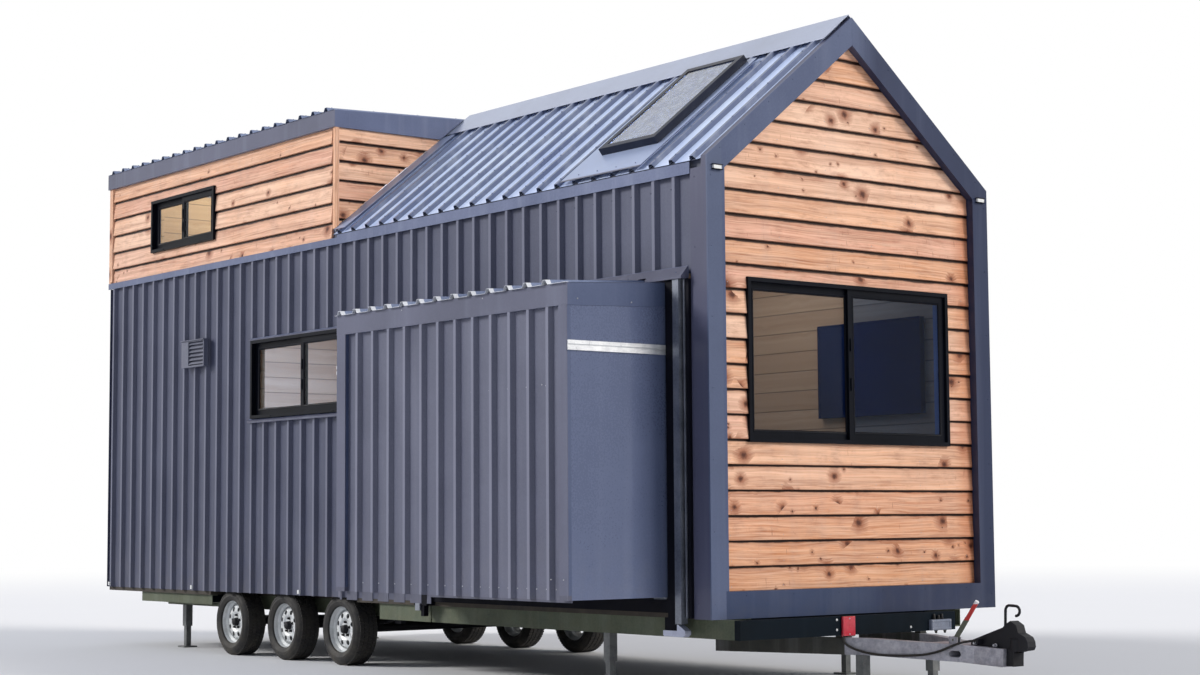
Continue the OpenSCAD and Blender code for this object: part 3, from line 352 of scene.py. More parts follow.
def liningMaterial(name, light, dark, board, groove):
    # oiled lining boards, drawn by height with a groove between them, and painted dark where they end outside the walls
    material, net, shader = newMaterial(name)
    x, y, z = net.split(net.place())
    step = net.calc("DIVIDE", z, board)
    fromMiddle = net.calc("ABSOLUTE", net.minus(net.calc("FRACT", step), 0.5))
    edge = net.remap(fromMiddle, 0.5 - groove / board, 0.5)
    which = net.node("ShaderNodeTexWhiteNoise", {"W": net.calc("FLOOR", step)}, noise_dimensions="1D")[0]
    grain = net.group(woodGrain, Vector=net.vector(net.plus(x, y), net.plus(z, net.times(which, 9.0))))
    across = net.calc("ABSOLUTE", net.minus(y, midY))
    eaveEnd = net.times(net.over(across, halfWidth - 0.088), net.over(z, 3.05))
    colour = net.layers(light, (net.times(grain["Band"], 0.6), dark), (net.times(which, 0.3), dark),
                        (net.times(edge, 0.7), (70, 52, 38)),
                        (net.either(eaveEnd, net.over(across, halfWidth - 0.012)), (58, 64, 86)))
    net.fill(shader.inputs, Base_Color=colour, Roughness=net.remap(grain["Grain"], 0, 1, 0.45, 0.65),
             Normal=net.bump(net.minus(net.times(grain["Height"], 0.2), edge), 0.6, 0.003))
    return material


def glassMaterial(name, tint, rough):
    # clear panes, and the roof light's pane tinted sky blue as a painted sky reflection, with a stronger shine
    material, net, shader = newMaterial(name)
    vector = net.place()
    x, y, z = net.split(vector)
    roofLight = net.times(net.over(x, frontX - 1.5), net.over(z, 3.1))
    treeReflectionPane = net.times(net.over(y, midY + 0.015), net.over(x, frontX - 0.12))
    film = net.noise(vector, 3.0, 6, 0.65)
    # painted sky reflection: the roof light's pane and its coat are tinted sky blue
    sky = net.mix(net.remap(net.noise(vector, 9.0, 5, 0.6), 0.4, 0.66), (214, 230, 255), (178, 200, 240))
    colour = net.layers(tint, (net.remap(film, 0.4, 0.8, 0.0, 0.2), (190, 204, 222)),
                        (treeReflectionPane, (138, 176, 230)),     # painted reflection: the front window's right pane is tinted for the dark trees it reflects
                        (roofLight, sky))
    specks = net.remap(net.noise(vector, 26.0, 5, 0.7), 0.42, 0.62, 0.65, 1.0)
    net.fill(shader.inputs, Base_Color=colour, Transmission_Weight=1.0, Specular_IOR_Level=0.5,
             IOR=1.17,           # thin coated glass, so that pale surroundings don't veil the rooms
             Roughness=net.plus(net.remap(film, 0.35, 0.8, rough, rough + 0.02), net.times(roofLight, 0.25)),
             Coat_Weight=net.times(roofLight, specks), Coat_IOR=4.0, Coat_Tint=(214, 228, 253),
             Normal=net.bump(net.noise(vector, 0.9, 1), 0.25, 0.004))
    return material


def tyreMaterial():
    material, net, shader = newMaterial("tyreRubber")
    vector = net.place()
    mud = net.group(splash, Vector=vector, Bottom=0.0, Top=0.9)["Mask"]
    tone = net.noise(vector, 22.0, 5, 0.6)
    colour = net.mix(net.times(mud, 0.24), net.mix(tone, (22, 22, 24), (44, 44, 46)), (120, 112, 96))
    net.fill(shader.inputs, Base_Color=colour, Roughness=net.remap(tone, 0.3, 0.7, 0.6, 0.85), Specular_IOR_Level=0.35,
             Normal=net.bump(net.noise(vector, 260.0, 3), 0.3, 0.0006))
    return material


def lensMaterial(name, colour, deep):
    material, net, shader = newMaterial(name)
    vector = net.place()
    flutes = net.node("ShaderNodeTexWave", {"Vector": vector, "Scale": 60.0, "Distortion": 0.0}, bands_direction="Z")[1]
    tone = net.noise(vector, 40.0, 3)
    net.fill(shader.inputs, Base_Color=net.mix(tone, colour, deep), Roughness=net.remap(tone, 0.3, 0.7, 0.08, 0.25),
             Coat_Weight=0.6, Normal=net.bump(flutes, 0.25, 0.001))
    return material


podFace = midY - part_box("slide_cladding")[0].y
crestLift = 0.0155      # of the ribs over the roof's slope
roofLevel = halfWidth * math.sin(pitch) + eave * math.cos(pitch) + crestLift
anywhere = -99.0        # start of a zone that has no near end


def paintedSideLight(node, skin, colour):
    # a zone of painted light for the side of a node that faces the camera
    return (1, anywhere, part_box(node)[0].y + skin, colour)


paint = {
    # painted highlight: the crest colour paints the rib tops of the wall and slide-out sheets lighter, where they catch
    # the light
    "wall": coated("wallSheet", (58, 62, 83), (78, 82, 103), (0.34, 0.48), 0.1, 0.10, (140, 143, 160), 0.28,
        (120, 114, 104), 1.1, 1.2, crest=(90, halfWidth - 0.0005, (116, 119, 138), 0.55)),
    # painted light and shade: the slide-out's sheets are the walls' own sheets, painted lighter here and darker on the
    # walls for how the light falls on each
    "podWall": coated("slideOutSheet", (76, 79, 98), (94, 97, 116), (0.34, 0.48), 0.1, 0.10, (146, 149, 166), 0.22,
        (120, 114, 104), 1.1, 1.2, crest=(90, podFace - 0.0005, (124, 127, 146), 0.55)),
    # painted sky reflection: the roof sheets are painted pale blue for the sky they reflect, and the crest colour
    # paints shade over the ribs
    "roof": coated("roofSheet", (188, 205, 244), (220, 232, 253), (0.26, 0.4), 0.3, 0.2, (224, 230, 240), 0.0,
        crest=(slope, roofLevel - 0.022, (58, 70, 106), 0.86)),
    # painted sky reflection: the sheet ends along the slide-out roof's near edge are painted near white
    "podRoof": coated("slideOutRoofSheet", (104, 116, 146), (130, 142, 172), (0.28, 0.42), 0.3, 0.14, (190, 198, 214),
        0.0, zones=(paintedSideLight("slide_roof", 0.035, (226, 230, 238)),)),
    "lowRoof": coated("lowRoofSheet", (104, 116, 146), (130, 142, 172), (0.28, 0.42), 0.3, 0.14, (190, 198, 214),
        0.0),
    "cap": coated("capSheet", (146, 154, 176), (170, 178, 198), (0.3, 0.45), 0.25, 0.16, (140, 144, 152), 0.0),
    # painted light and shade on the trim: its sides behind the front face are painted greyer as lit by the neutral
    # light from the left, and its right half is painted darker for the dark trees it reflects
    "trim": coated("gableTrim", (62, 72, 101), (80, 91, 120), (0.32, 0.46), 0.1, 0.08, (140, 148, 170), 0.16,
        (120, 116, 108), 0.75, 0.9, zones=((2, 0.0, 0.633, (46, 60, 92)),
        (1, anywhere, midY - halfWidth + 0.115, (80, 91, 120)), (0, frontX - 0.2, frontX - 0.012, (78, 80, 104)),
        (1, midY + 0.22, 99.0, (36, 47, 78), 0.22))),
    "panel": coated("smoothPanel", (76, 86, 114), (94, 104, 133), (0.22, 0.36), 0.15, 0.10, (150, 158, 182), 0.2,
        (120, 116, 108), 1.0, 0.8, coat=0.15),
    # painted light: the loft fascia's face towards the camera is painted greyer, as lit by the neutral light from the
    # left
    "fascia": coated("fasciaSheet", (66, 76, 106), (84, 95, 126), (0.3, 0.44), 0.15, 0.12, (160, 168, 186), 0.0,
        zones=(paintedSideLight("loft_fascia", 0.006, (88, 91, 113)),)),
    # painted light: the slide-out trim's face towards the camera is painted greyer, as lit by the neutral light from
    # the left
    "podTrim": coated("slideOutTrim", (62, 73, 102), (78, 89, 118), (0.3, 0.44), 0.15, 0.10, (150, 158, 178), 0.12,
        zones=(paintedSideLight("slide_trim", 0.006, (92, 95, 116)), (2, 0.0, 0.622, (84, 86, 104)))),
    # painted light: flashings above the eave are painted pale blue as a painted sky reflection, and those on the near
    # side greyer, as lit by the neutral light from the left
    "flashing": coated("flashingSheet", (84, 93, 122), (104, 113, 142), (0.3, 0.44), 0.2, 0.14, (170, 178, 194), 0.1,
        zones=((2, eave + 0.012, 9.0, (160, 174, 206)), (1, anywhere, midY - halfWidth - 0.006, (88, 90, 110)))),
    "black": coated("blackFrame", (5, 7, 14), (13, 16, 26), (0.3, 0.44), 0.0, 0.04, (60, 66, 80), 0.04,
        specular=0.08),
    "skyFrame": coated("skylightFrame", (14, 19, 34), (28, 35, 54), (0.3, 0.44), 0.0, 0.06, (100, 110, 132), 0.0,
        specular=0.14),
    "chassis": coated("chassisPaint", (62, 70, 56), (96, 104, 86), (0.45, 0.62), 0.0, 0.14, (160, 160, 146), 0.3,
        (118, 112, 90), 0.7, 3.0, specular=0.2),
    "beam": coated("frontBeamPaint", (5, 13, 20), (12, 23, 33), (0.5, 0.65), 0.0, 0.04, (70, 78, 84), 0.06,
        (60, 62, 56), 0.45, 3.0, specular=0.07),
    "underBlack": coated("underbodyBlack", (9, 10, 16), (22, 24, 32), (0.42, 0.62), 0.0, 0.06, (74, 76, 82), 0.08,
        (84, 80, 72), 0.5, 4.0, specular=0.22),
    # painted shadow: the drawbar is painted near black at its house end, in the shade under the front beam
    "galvanised": coated("galvanisedSteel", (126, 128, 138), (176, 176, 186), (0.34, 0.52), 0.55, 0.14,
        (206, 206, 212), 0.2, (124, 118, 108), 0.5, 26.0, zones=((0, anywhere, frontX + 0.2, (52, 54, 52)),)),
    "leg": coated("legZinc", (84, 87, 88), (118, 120, 120), (0.4, 0.55), 0.45, 0.1, (186, 188, 190), 0.4,
        (116, 108, 92), 0.25, 18.0),
    "plywood": coated("deckEdge", (40, 36, 34), (60, 54, 48), (0.6, 0.8), 0.0, 0.2, (90, 84, 76), 0.3),
    "rubber": coated("sealRubber", (5, 6, 14), (13, 14, 24), (0.5, 0.7), 0.0, 0.04, (50, 52, 62), 0.06, (80, 78, 76),
        0.9, 5.0, 0.001, specular=0.08),
    "aluminium": coated("columnAluminium", (98, 103, 116), (138, 143, 154), (0.28, 0.42), 0.7, 0.14, (210, 214, 222),
        0.15, (110, 106, 98), 0.7, 6.0, zones=((2, 0.0, 0.436, (186, 192, 214)),)),
    "rack": coated("rackSteel", (206, 208, 212), (232, 234, 236), (0.26, 0.4), 0.6, 0.08, (130, 126, 122), 0.0,
        patch=14.0, specular=0.5),
    "vent": coated("ventPlastic", (84, 87, 104), (104, 107, 122), (0.4, 0.55), 0.0, 0.1, (150, 152, 160), 0.0,
        patch=6.0),
    "box": coated("greyPlastic", (104, 112, 130), (136, 144, 160), (0.4, 0.55), 0.0, 0.08, (180, 184, 190), 0.2,
        (126, 118, 104), 0.6, 8.0),
    "cable": coated("cableSheath", (9, 9, 11), (20, 20, 23), (0.45, 0.62), 0.0, 0.05, (80, 80, 80), 0.2,
        (110, 104, 92), 0.5, 20.0, 0.0008),
    "rim": coated("rimSilver", (190, 194, 196), (228, 231, 232), (0.26, 0.42), 0.3, 0.12, (140, 136, 128), 0.3,
        (120, 112, 98), 0.55, 8.0),
    "lever": coated("leverRed", (166, 34, 36), (204, 54, 52), (0.3, 0.45), 0.0, 0.05, (200, 130, 120), 0.1,
        (126, 112, 96), 0.7, 10.0, zones=((2, 0.0, 0.461, (96, 102, 88)), (2, 0.556, 9.0, (240, 240, 244)))),
    "screw": coated("zincScrews", (138, 140, 148), (182, 184, 190), (0.3, 0.45), 0.6, 0.0, dirt=0.0, patch=30.0),
    "screen": coated("screenGlass", (12, 26, 62), (24, 42, 84), (0.5, 0.6), 0.0, 0.0, dirt=0.0, wave=0.0,
        specular=0.02),
    "cedar": cedarMaterial(),
    "lining": liningMaterial("liningBoards", (206, 172, 136), (176, 138, 104), 0.14, 0.006),
    "glass": glassMaterial("windowGlass", (206, 222, 236), 0.008),
    "tyre": tyreMaterial(),
    "redLens": lensMaterial("redLens", (206, 28, 58), (156, 14, 34)),
    "clearLens": lensMaterial("clearLens", (236, 236, 232), (206, 208, 210)),
}

painted = {
    "chassis": "chassis_rails", "beam": "cross_members", "galvanised": "drawbar", "underBlack": "coupling running_gear",
    "leg": "stabiliser_legs", "plywood": "floor_deck", "lining": "near_wall far_wall end_walls roof_panels",
    "wall": "wall_cladding", "cedar": "gable_boards loft_boards", "trim": "gable_frame", "lowRoof": "loft_roof",
    "roof": "roof_sheets", "cap": "ridge_cap", "flashing": "flashings", "fascia": "loft_fascia",
    "skyFrame": "skylight_frame", "black": "window_frames entry_door", "glass": "window_glass", "vent": "wall_vent",
    "screen": "wall_screen", "rubber": "slide_seal", "aluminium": "slide_columns", "clearLens": "marker_lights",
    "redLens": "red_lamp", "box": "junction_box", "cable": "brake_cable", "panel": "slide_walls",
    "podRoof": "slide_roof", "podWall": "slide_cladding", "podTrim": "slide_trim", "rack": "slide_racks",
    "lever": "brake_lever",
}
finishOf = {node: finish for finish, names in painted.items() for node in names.split()}

for name, node in nodes.items():
    finish = paint[finishOf.get(name, "tyre")]
    if not node.material_slots:
        node.data.materials.append(finish)
    for slot in node.material_slots:
        slot.material = finish
print("materials made:", len(paint))


# Mesh helpers

def quads(a, b, count, last=None):
    # quads between two rounds of points that start at a and b
    return [(a + i, a + (i + 1) % count, b + (i + 1) % count, b + i) for i in range(last or count)]


class Shape:
    # collects closed shells, and turns them into one piece
    def __init__(self):
        self.points, self.faces = [], []

    def add(self, points, faces):
        base = len(self.points)
        self.points += [tuple(p) for p in points]
        self.faces += [tuple(base + i for i in face) for face in faces]

    def box(self, low, high):
        corners = [(x, y, z) for x in (low[0], high[0]) for y in (low[1], high[1]) for z in (low[2], high[2])]
        self.add(corners, [(0, 1, 3, 2), (4, 6, 7, 5), (0, 4, 5, 1), (2, 3, 7, 6), (0, 2, 6, 4), (1, 5, 7, 3)])

    def prism(self, outline, at, near, far):
        count = len(outline)
        points = [at(u, v, w) for w in (near, far) for u, v in outline]
        ends = [tuple(range(count)), tuple(range(2 * count - 1, count - 1, -1))]
        self.add(points, ends + quads(0, count, count))

    def plate(self, at, u0, u1, v0, v1, near, far):
        self.prism([(u0, v0), (u1, v0), (u1, v1), (u0, v1)], at, near, far)

    def ring(self, at, halfW, halfH, profile):
        # a mitred frame, whose profile is (inset from the outer edge, height off the face)
        count = len(profile)
        self.add([at(su * (halfW - inset), sv * (halfH - inset), out)
                  for su, sv in ((-1, -1), (1, -1), (1, 1), (-1, 1)) for inset, out in profile],
                 [quad for corner in range(4) for quad in quads(corner * count, (corner + 1) % 4 * count, count)])

    def lathe(self, profile, at, segments, closed=True):
        # profile is (radius, height) and at(a, b, height) places it
        count = len(profile)
        self.add([at(r * math.cos(t), r * math.sin(t), h)
                  for t in (circle * k / segments for k in range(segments)) for r, h in profile],
                 [quad for k in range(segments)
                  for quad in quads(k * count, (k + 1) % segments * count, count, count if closed else count - 1)])

    def tube(self, path, radius, sides):
        path = [Vector(p) for p in path]
        radii = radius if isinstance(radius, list) else [radius] * len(path)
        tangents = [(path[min(i + 1, len(path) - 1)] - path[max(i - 1, 0)]).normalized() for i in range(len(path))]
        side = tangents[0].orthogonal().normalized()
        points, faces = [], []
        for centre, tangent, reach in zip(path, tangents, radii):
            side = (side - tangent * side.dot(tangent)).normalized()
            other = tangent.cross(side)
            points += [centre + (side * math.cos(circle * k / sides) + other * math.sin(circle * k / sides)) * reach
                       for k in range(sides)]
        for i in range(len(path) - 1):
            faces += quads(i * sides, (i + 1) * sides, sides)
        end = (len(path) - 1) * sides
        self.add(points, faces + [tuple(range(sides - 1, -1, -1)), tuple(range(end, end + sides))])

    def make(self, name, bevel=0.0, angle=35):
        mesh = bpy.data.meshes.new(name)
        mesh.from_pydata(self.points, [], self.faces)
        bm = bmesh.new()
        bm.from_mesh(mesh)
        bmesh.ops.remove_doubles(bm, verts=bm.verts, dist=1e-6)
        bmesh.ops.dissolve_degenerate(bm, edges=bm.edges, dist=1e-7)
        bmesh.ops.recalc_face_normals(bm, faces=bm.faces)
        bm.to_mesh(mesh)
        bm.free()
        return finishMesh(name, mesh, bevel, angle)


def finishMesh(name, mesh, bevel=0.0, angle=35):
    obj = linked(name, mesh)
    mesh.polygons.foreach_set("use_smooth", [True] * len(mesh.polygons))
    mesh.set_sharp_from_angle(angle=math.radians(angle))
    if bevel:
        edge = obj.modifiers.new("softEdges", "BEVEL")
        edge.width, edge.segments, edge.limit_method, edge.angle_limit = bevel, 2, "ANGLE", math.radians(40)
        edge.harden_normals = True
    return obj


def fitPiece(obj, body, slot, finish, *replaced):
    obj.data.materials.clear()
    obj.data.materials.append(paint[finish])
    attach(obj, body)
    if replaced:
        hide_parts(*replaced)
    return obj


def baked(obj):
    # the evaluated mesh, with the modifiers gone
    graph = bpy.context.evaluated_depsgraph_get()
    mesh = bpy.data.meshes.new_from_object(obj.evaluated_get(graph), preserve_all_data_layers=True, depsgraph=graph)
    obj.modifiers.clear()
    obj.data = mesh
    return obj


# Geometry Nodes trees for what repeats

def grow(name, mesh, tree, values):
    # runs a tree on a mesh and keeps the plain result
    obj = linked(name, mesh)
    modifier = obj.modifiers.new("grow", "NODES")
    modifier.node_group = tree
    for item in tree.interface.items_tree:
        if item.in_out == "INPUT" and item.name in values:
            modifier[item.identifier] = values[item.name]
    return baked(obj)


def setOut(net, points, instance, rotation, material, result):
    placed = net.node("GeometryNodeInstanceOnPoints", {"Points": points, "Instance": instance, "Rotation": rotation})
    real = net.node("GeometryNodeRealizeInstances", {0: placed[0]})
    net.put(net.node("GeometryNodeSetMaterial", {"Geometry": real[0], "Material": material})[0], result[0])
    return net.tree


def makeFastenerTree():
    # a headed screw on a washer at every point, standing along the point's facing
    net, given, result = newTree("GeometryNodeTree", "fastenerTree", {
        "Geometry": "Geometry", **floats("Head Size", "Head Height"), "Head Sides": "Int",
        **floats("Washer Size", "Washer Height"), "Seed": "Int", "Material": "Material"}, {"Geometry": "Geometry"})

    def cone(sides, size, taper, height):
        return net.node("GeometryNodeMeshCone", {"Vertices": sides, "Radius Bottom": net.times(size, 0.5),
                                                 "Radius Top": net.times(size, taper), "Depth": height})[0]

    head = cone(given["Head Sides"], given["Head Size"], 0.4, given["Head Height"])
    lift = net.vector(z=given["Washer Height"])
    raised = net.node("GeometryNodeTransform", {"Geometry": head, "Translation": lift})[0]
    both = net.tree.nodes.new("GeometryNodeJoinGeometry")
    for part in (raised, cone(12, given["Washer Size"], 0.42, given["Washer Height"])):
        net.put(part, both.inputs[0])
    turn = net.node("FunctionNodeRandomValue", {"Seed": given["Seed"], 3: circle}, data_type="FLOAT")[1]
    spin = net.node("FunctionNodeEulerToRotation", {0: net.vector(z=turn)})[0]
    facing = net.node("GeometryNodeInputNamedAttribute", {"Name": "facing"}, data_type="FLOAT_VECTOR")[0]
    stand = net.node("FunctionNodeAlignRotationToVector", {"Rotation": spin, "Vector": facing}, axis="Z")[0]
    return setOut(net, given["Geometry"], both.outputs[0], stand, given["Material"], result)


def makeTreadTree():
    # rows of blocks round a wheel on the Y axis, each row turned by half a block
    net, given, result = newTree("GeometryNodeTree", "treadTree", {
        "Geometry": "Geometry", "Radius": "Float", "Rows": "Int", "Blocks": "Int",
        **floats("Row Gap", "Block Length", "Block Width", "Block Height"), "Material": "Material"},
        {"Geometry": "Geometry"})
    index = net.node("GeometryNodeInputIndex")[0]
    row = net.calc("FLOOR", net.calc("DIVIDE", index, given["Blocks"]))
    step = net.plus(net.calc("MODULO", index, given["Blocks"]), net.times(row, 0.5))
    angle = net.times(step, net.calc("DIVIDE", circle, given["Blocks"]))
    across = net.times(net.minus(row, net.times(net.minus(given["Rows"], 1.0), 0.5)), given["Row Gap"])
    place = net.vector(net.times(net.calc("COSINE", angle), given["Radius"]), across,
                       net.times(net.calc("SINE", angle), given["Radius"]))
    dots = net.node("GeometryNodePoints", {"Count": net.times(given["Rows"], given["Blocks"]), "Position": place})[0]
    size = net.vector(given["Block Height"], given["Block Width"], given["Block Length"])
    block = net.node("GeometryNodeMeshCube", {"Size": size})[0]
    slant = net.times(net.minus(net.calc("MODULO", row, 2.0), 0.5), 0.5)
    turned = net.node("FunctionNodeEulerToRotation", {0: net.vector(slant, net.times(angle, -1.0))})[0]
    return setOut(net, dots, block, turned, given["Material"], result)


fastenerTree, treadTree = makeFastenerTree(), makeTreadTree()
screwSizes = {      # head size, height and sides, washer size and height
    "sheet": (0.0085, 0.0045, 6, 0.016, 0.002), "trim": (0.009, 0.002, 10, 0.0095, 0.0006),
    "nail": (0.0055, 0.0006, 8, 0.0056, 0.0002), "nut": (0.019, 0.016, 6, 0.024, 0.002),
}


def fasten(name, spots, kind, body, slot, finish):
    # spots are pairs of a point and the direction that it faces
    mesh = bpy.data.meshes.new(name)
    mesh.from_pydata([tuple(p) for p, facing in spots], [], [])
    facings = mesh.attributes.new("facing", "FLOAT_VECTOR", "POINT")
    facings.data.foreach_set("vector", [c for p, facing in spots for c in Vector(facing).normalized()])
    labels = ("Head Size", "Head Height", "Head Sides", "Washer Size", "Washer Height")
    obj = grow(name, mesh, fastenerTree, dict(zip(labels, screwSizes[kind]), Seed=7, Material=paint[finish]))
    return fitPiece(obj, body, slot, finish)


print("helpers ready")


# Cable at the drawbar, first of the loose pieces

cableSettings = {      # the route is in millimetres, the relief in (distance, radius)
    "diameter": 0.014, "pointsBetween": 2,
    "route": [(202, -364.8, 347.6), (203, -364.8, 334), (209, -363.5, 319), (222, -359.5, 305), (243, -352.5, 292),
              (272, -342, 279.5), (308, -328.5, 268), (352, -312, 258), (406, -292, 250.5), (470, -268.5, 247),
              (540, -243, 247.5), (610, -217.5, 250.5), (680, -192, 256.5), (738, -170.5, 268), (788, -152, 284),
              (830, -136.5, 302), (862, -122, 317), (890, -106, 328.5), (915, -90, 336.5), (938, -74, 341),
              (957, -63, 343.5), (975, -58, 344.5), (990.2, -58, 343.83)],
    "relief": [(0.0, 0.0088), (0.006, 0.0098), (0.012, 0.0094), (0.022, 0.0082), (0.034, 0.0074)],
}


def smoothRoute(points, between):
    ends = [points[0] * 2 - points[1]] + points + [points[-1] * 2 - points[-2]]
    route = []
    for i in range(1, len(ends) - 2):
        a, b, c, d = ends[i - 1:i + 3]
        for k in range(between):
            t = k / between
            route.append(0.5 * (2 * b + (c - a) * t + (2 * a - 5 * b + 4 * c - d) * t ** 2
                                + (3 * b - a - 3 * c + d) * t ** 3))
    return route + [points[-1]]


def makeCable():
    route = smoothRoute([house(x / 1000, y / 1000, z / 1000) for x, y, z in cableSettings["route"]],
                        cableSettings["pointsBetween"])
    shape, relief = Shape(), Shape()
    shape.tube(route, cableSettings["diameter"] / 2, 14)
    cable = fitPiece(shape.make("brakeCable"), "house", "cable_black", "cable", "brake_cable")
    down = (route[1] - route[0]).normalized()
    relief.tube([route[0] + down * along for along, r in cableSettings["relief"]],
                [r for along, r in cableSettings["relief"]], 16)
    sleeve = fitPiece(relief.make("cableRelief"), "house", "cable_black", "cable")


makeCable()


# Lapped cedar boards

boardSettings = {
    "exposure": 0.1503, "butt": 0.0235, "thin": 0.0085, "chamfer": 0.0016, "gap": 0.0006, "unevenness": 0.0005,
    "recess": 0.0115, "recessDepth": 0.0025, "shortest": 0.003, "roundEdge": 0.002, "sideWall": 0.029, "stop": 0.0285,
    "gableLap": 3.181, "gableBottom": 0.6305, "trimWide": 0.138, "loftSideLap": 3.280, "loftFrontLap": 3.308,
    "loftExposure": 0.1485, "loftFrontExposure": 0.1470, "loftFront": -4.23, "rearCorner": 0.062, "frontCorner": 0.036,
    "rearInset": 0.0124, "sideJoints": (-5.0, -5.4, -7.35), "rearJoints": (-0.3, 0.25),
}


class Boards:
    # boards of one wall: at(along, out, z) places them on it
    def __init__(self):
        self.bm = bmesh.new()
        self.uv = self.bm.loops.layers.uv.new("along")
        self.tone = self.bm.loops.layers.float_color.new("boardTone")

    def bar(self, at, outline, ends, uvOf, toneOf):
        # a closed bar with this outline between two ends, and each corner's own uv and tone
        count = len(outline)
        spots = [(a, b, end) for end in ends for a, b in outline]
        verts = [self.bm.verts.new(at(*spot)) for spot in spots]
        caps = [tuple(range(count - 1, -1, -1)), tuple(range(count, 2 * count))]
        for corners in quads(0, count, count) + caps:
            face = self.bm.faces.new([verts[i] for i in corners])
            for loop in face.loops:
                spot = spots[verts.index(loop.vert)]
                loop[self.uv].uv = uvOf(*spot)
                loop[self.tone] = toneOf(*spot)

    def strip(self, at, start, end, low, high, lap, exposure, own, out):
        butt, thin, edge = boardSettings["butt"], boardSettings["thin"], boardSettings["chamfer"]

        def thick(z):
            return butt + (thin - butt) * max(0.0, min(1.0, (z - lap) / exposure)) + out

        section = [(0, low), (thick(low) - edge, low), (thick(low), low + edge), (thick(high), high), (0, high)]
        recess, floor = boardSettings["recess"], boardSettings["recessDepth"]
        if high > lap + exposure - 0.003 and high - low > 2 * recess:     # the dark line below the next board
            section[3:] = [(thick(high - recess), high - recess), (floor, high - recess), (floor, high), (0, high)]
        shift, lift, tones = own
        self.bar(lambda o, z, s: at(s, o, z), section, (start, end), lambda o, z, s: (s + shift, z - lap + o + lift),
                 lambda o, z, s: (tones[0], tones[1], (z - lap) / exposure, 1))

    def course(self, at, start, end, bottom, top, firstLap, exposure, openings=(), joints=(), *, seed):
        # lap lines fall at firstLap plus or minus whole exposures; openings are (start, end, low, high)
        dice = random.Random(seed)
        lap = firstLap - math.ceil((firstLap - bottom) / exposure) * exposure
        gap = boardSettings["gap"]
        while lap < top:
            low, high = max(lap, bottom), min(lap + exposure - gap, top)
            cuts = [start, *(dice.sample(list(joints), min(len(joints), 1)) if dice.random() < 0.5 else []), end]
            for s0, s1 in zip(cuts, cuts[1:]):
                own = (dice.uniform(0, 40), dice.uniform(0, 60), (dice.random(), dice.random() ** 1.5))
                out = dice.uniform(-1, 1) * boardSettings["unevenness"]
                if high - low > 0.004:
                    for a, b, z0, z1 in self.around(s0 + gap, s1 - gap, low, high, openings):
                        self.strip(at, a, b, z0, z1, lap, exposure, own, out)
            lap += exposure

    def around(self, start, end, low, high, openings):
        # the parts of a board that stay beside, above and below an opening
        least = boardSettings["shortest"]
        for left, right, sill, head in openings:
            if head > low and sill < high and right > start and left < end:
                inner, outer = max(start, left), min(end, right)
                parts = [(start, left, low, high), (right, end, low, high), (inner, outer, low, sill),
                         (inner, outer, head, high)]
                return [p for p in parts if p[1] - p[0] > least and p[3] - p[2] > least]
        return [(start, end, low, high)]

    def trim(self, point, normal):
        # cuts off what lies beyond a plane, and closes the cut ends
        every = self.bm.verts[:] + self.bm.edges[:] + self.bm.faces[:]
        cut = bmesh.ops.bisect_plane(self.bm, geom=every, plane_co=point, plane_no=normal, clear_outer=True)
        edges = [e for e in cut["geom_cut"] if isinstance(e, bmesh.types.BMEdge) and e.is_boundary]
        bmesh.ops.holes_fill(self.bm, edges=edges, sides=0)

    def merge(self, other):
        # takes over the boards of another wall
        mesh = bpy.data.meshes.new("boards")
        other.bm.to_mesh(mesh)
        other.bm.free()
        self.bm.from_mesh(mesh)
        bpy.data.meshes.remove(mesh)

    def make(self, name, replaced):
        bmesh.ops.recalc_face_normals(self.bm, faces=self.bm.faces)
        mesh = bpy.data.meshes.new(name)
        self.bm.to_mesh(mesh)
        self.bm.free()
        return fitPiece(finishMesh(name, mesh), "house", "cedar", "cedar", replaced)


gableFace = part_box("gable_boards")[0].x - frontX           # the sheathing behind the gable boards
windows = {
    "gable": {"w": 1.745, "h": 0.990, "z": 1.510, "centre": 0.0},
    "side": {"w": 1.547, "h": 0.614, "z": 1.858, "centre": 4.674},
    "loft": {"w": 1.120, "h": 0.445, "z": 3.345, "centre": 6.645},
}
loftLow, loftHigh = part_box("loft_boards")
loftRoofLine = house(0, 0, trimHigh.z + 0.016 / math.cos(pitch) + 0.006)     # where the loft meets the roof's ridge


def windowHole(key, mirror=1, play=0.0006):
    w = windows[key]
    middle = -w["centre"] * mirror
    return (middle - w["w"] / 2 - play, middle + w["w"] / 2 + play, w["z"] - play, w["z"] + w["h"] + play)


def aboveRoof(side):
    return loftRoofLine, (0, -side * math.sin(pitch), -math.cos(pitch))


def makeGableBoards():
    b = boardSettings
    boards = Boards()
    reach = halfWidth - b["trimWide"] + 0.03
    ridge = trimHigh.z - b["trimWide"] / math.cos(pitch) + 0.035
    boards.course(lambda s, o, z: house(gableFace + o, s, z), -reach, reach, b["gableBottom"], ridge, b["gableLap"],
                  b["exposure"], [windowHole("gable")], seed=3)
    for side in (-1, 1):
        boards.trim(house(gableFace, 0, ridge), (0, side * math.sin(pitch), math.cos(pitch)))
    boards.make("gableBoards", "gable_boards")


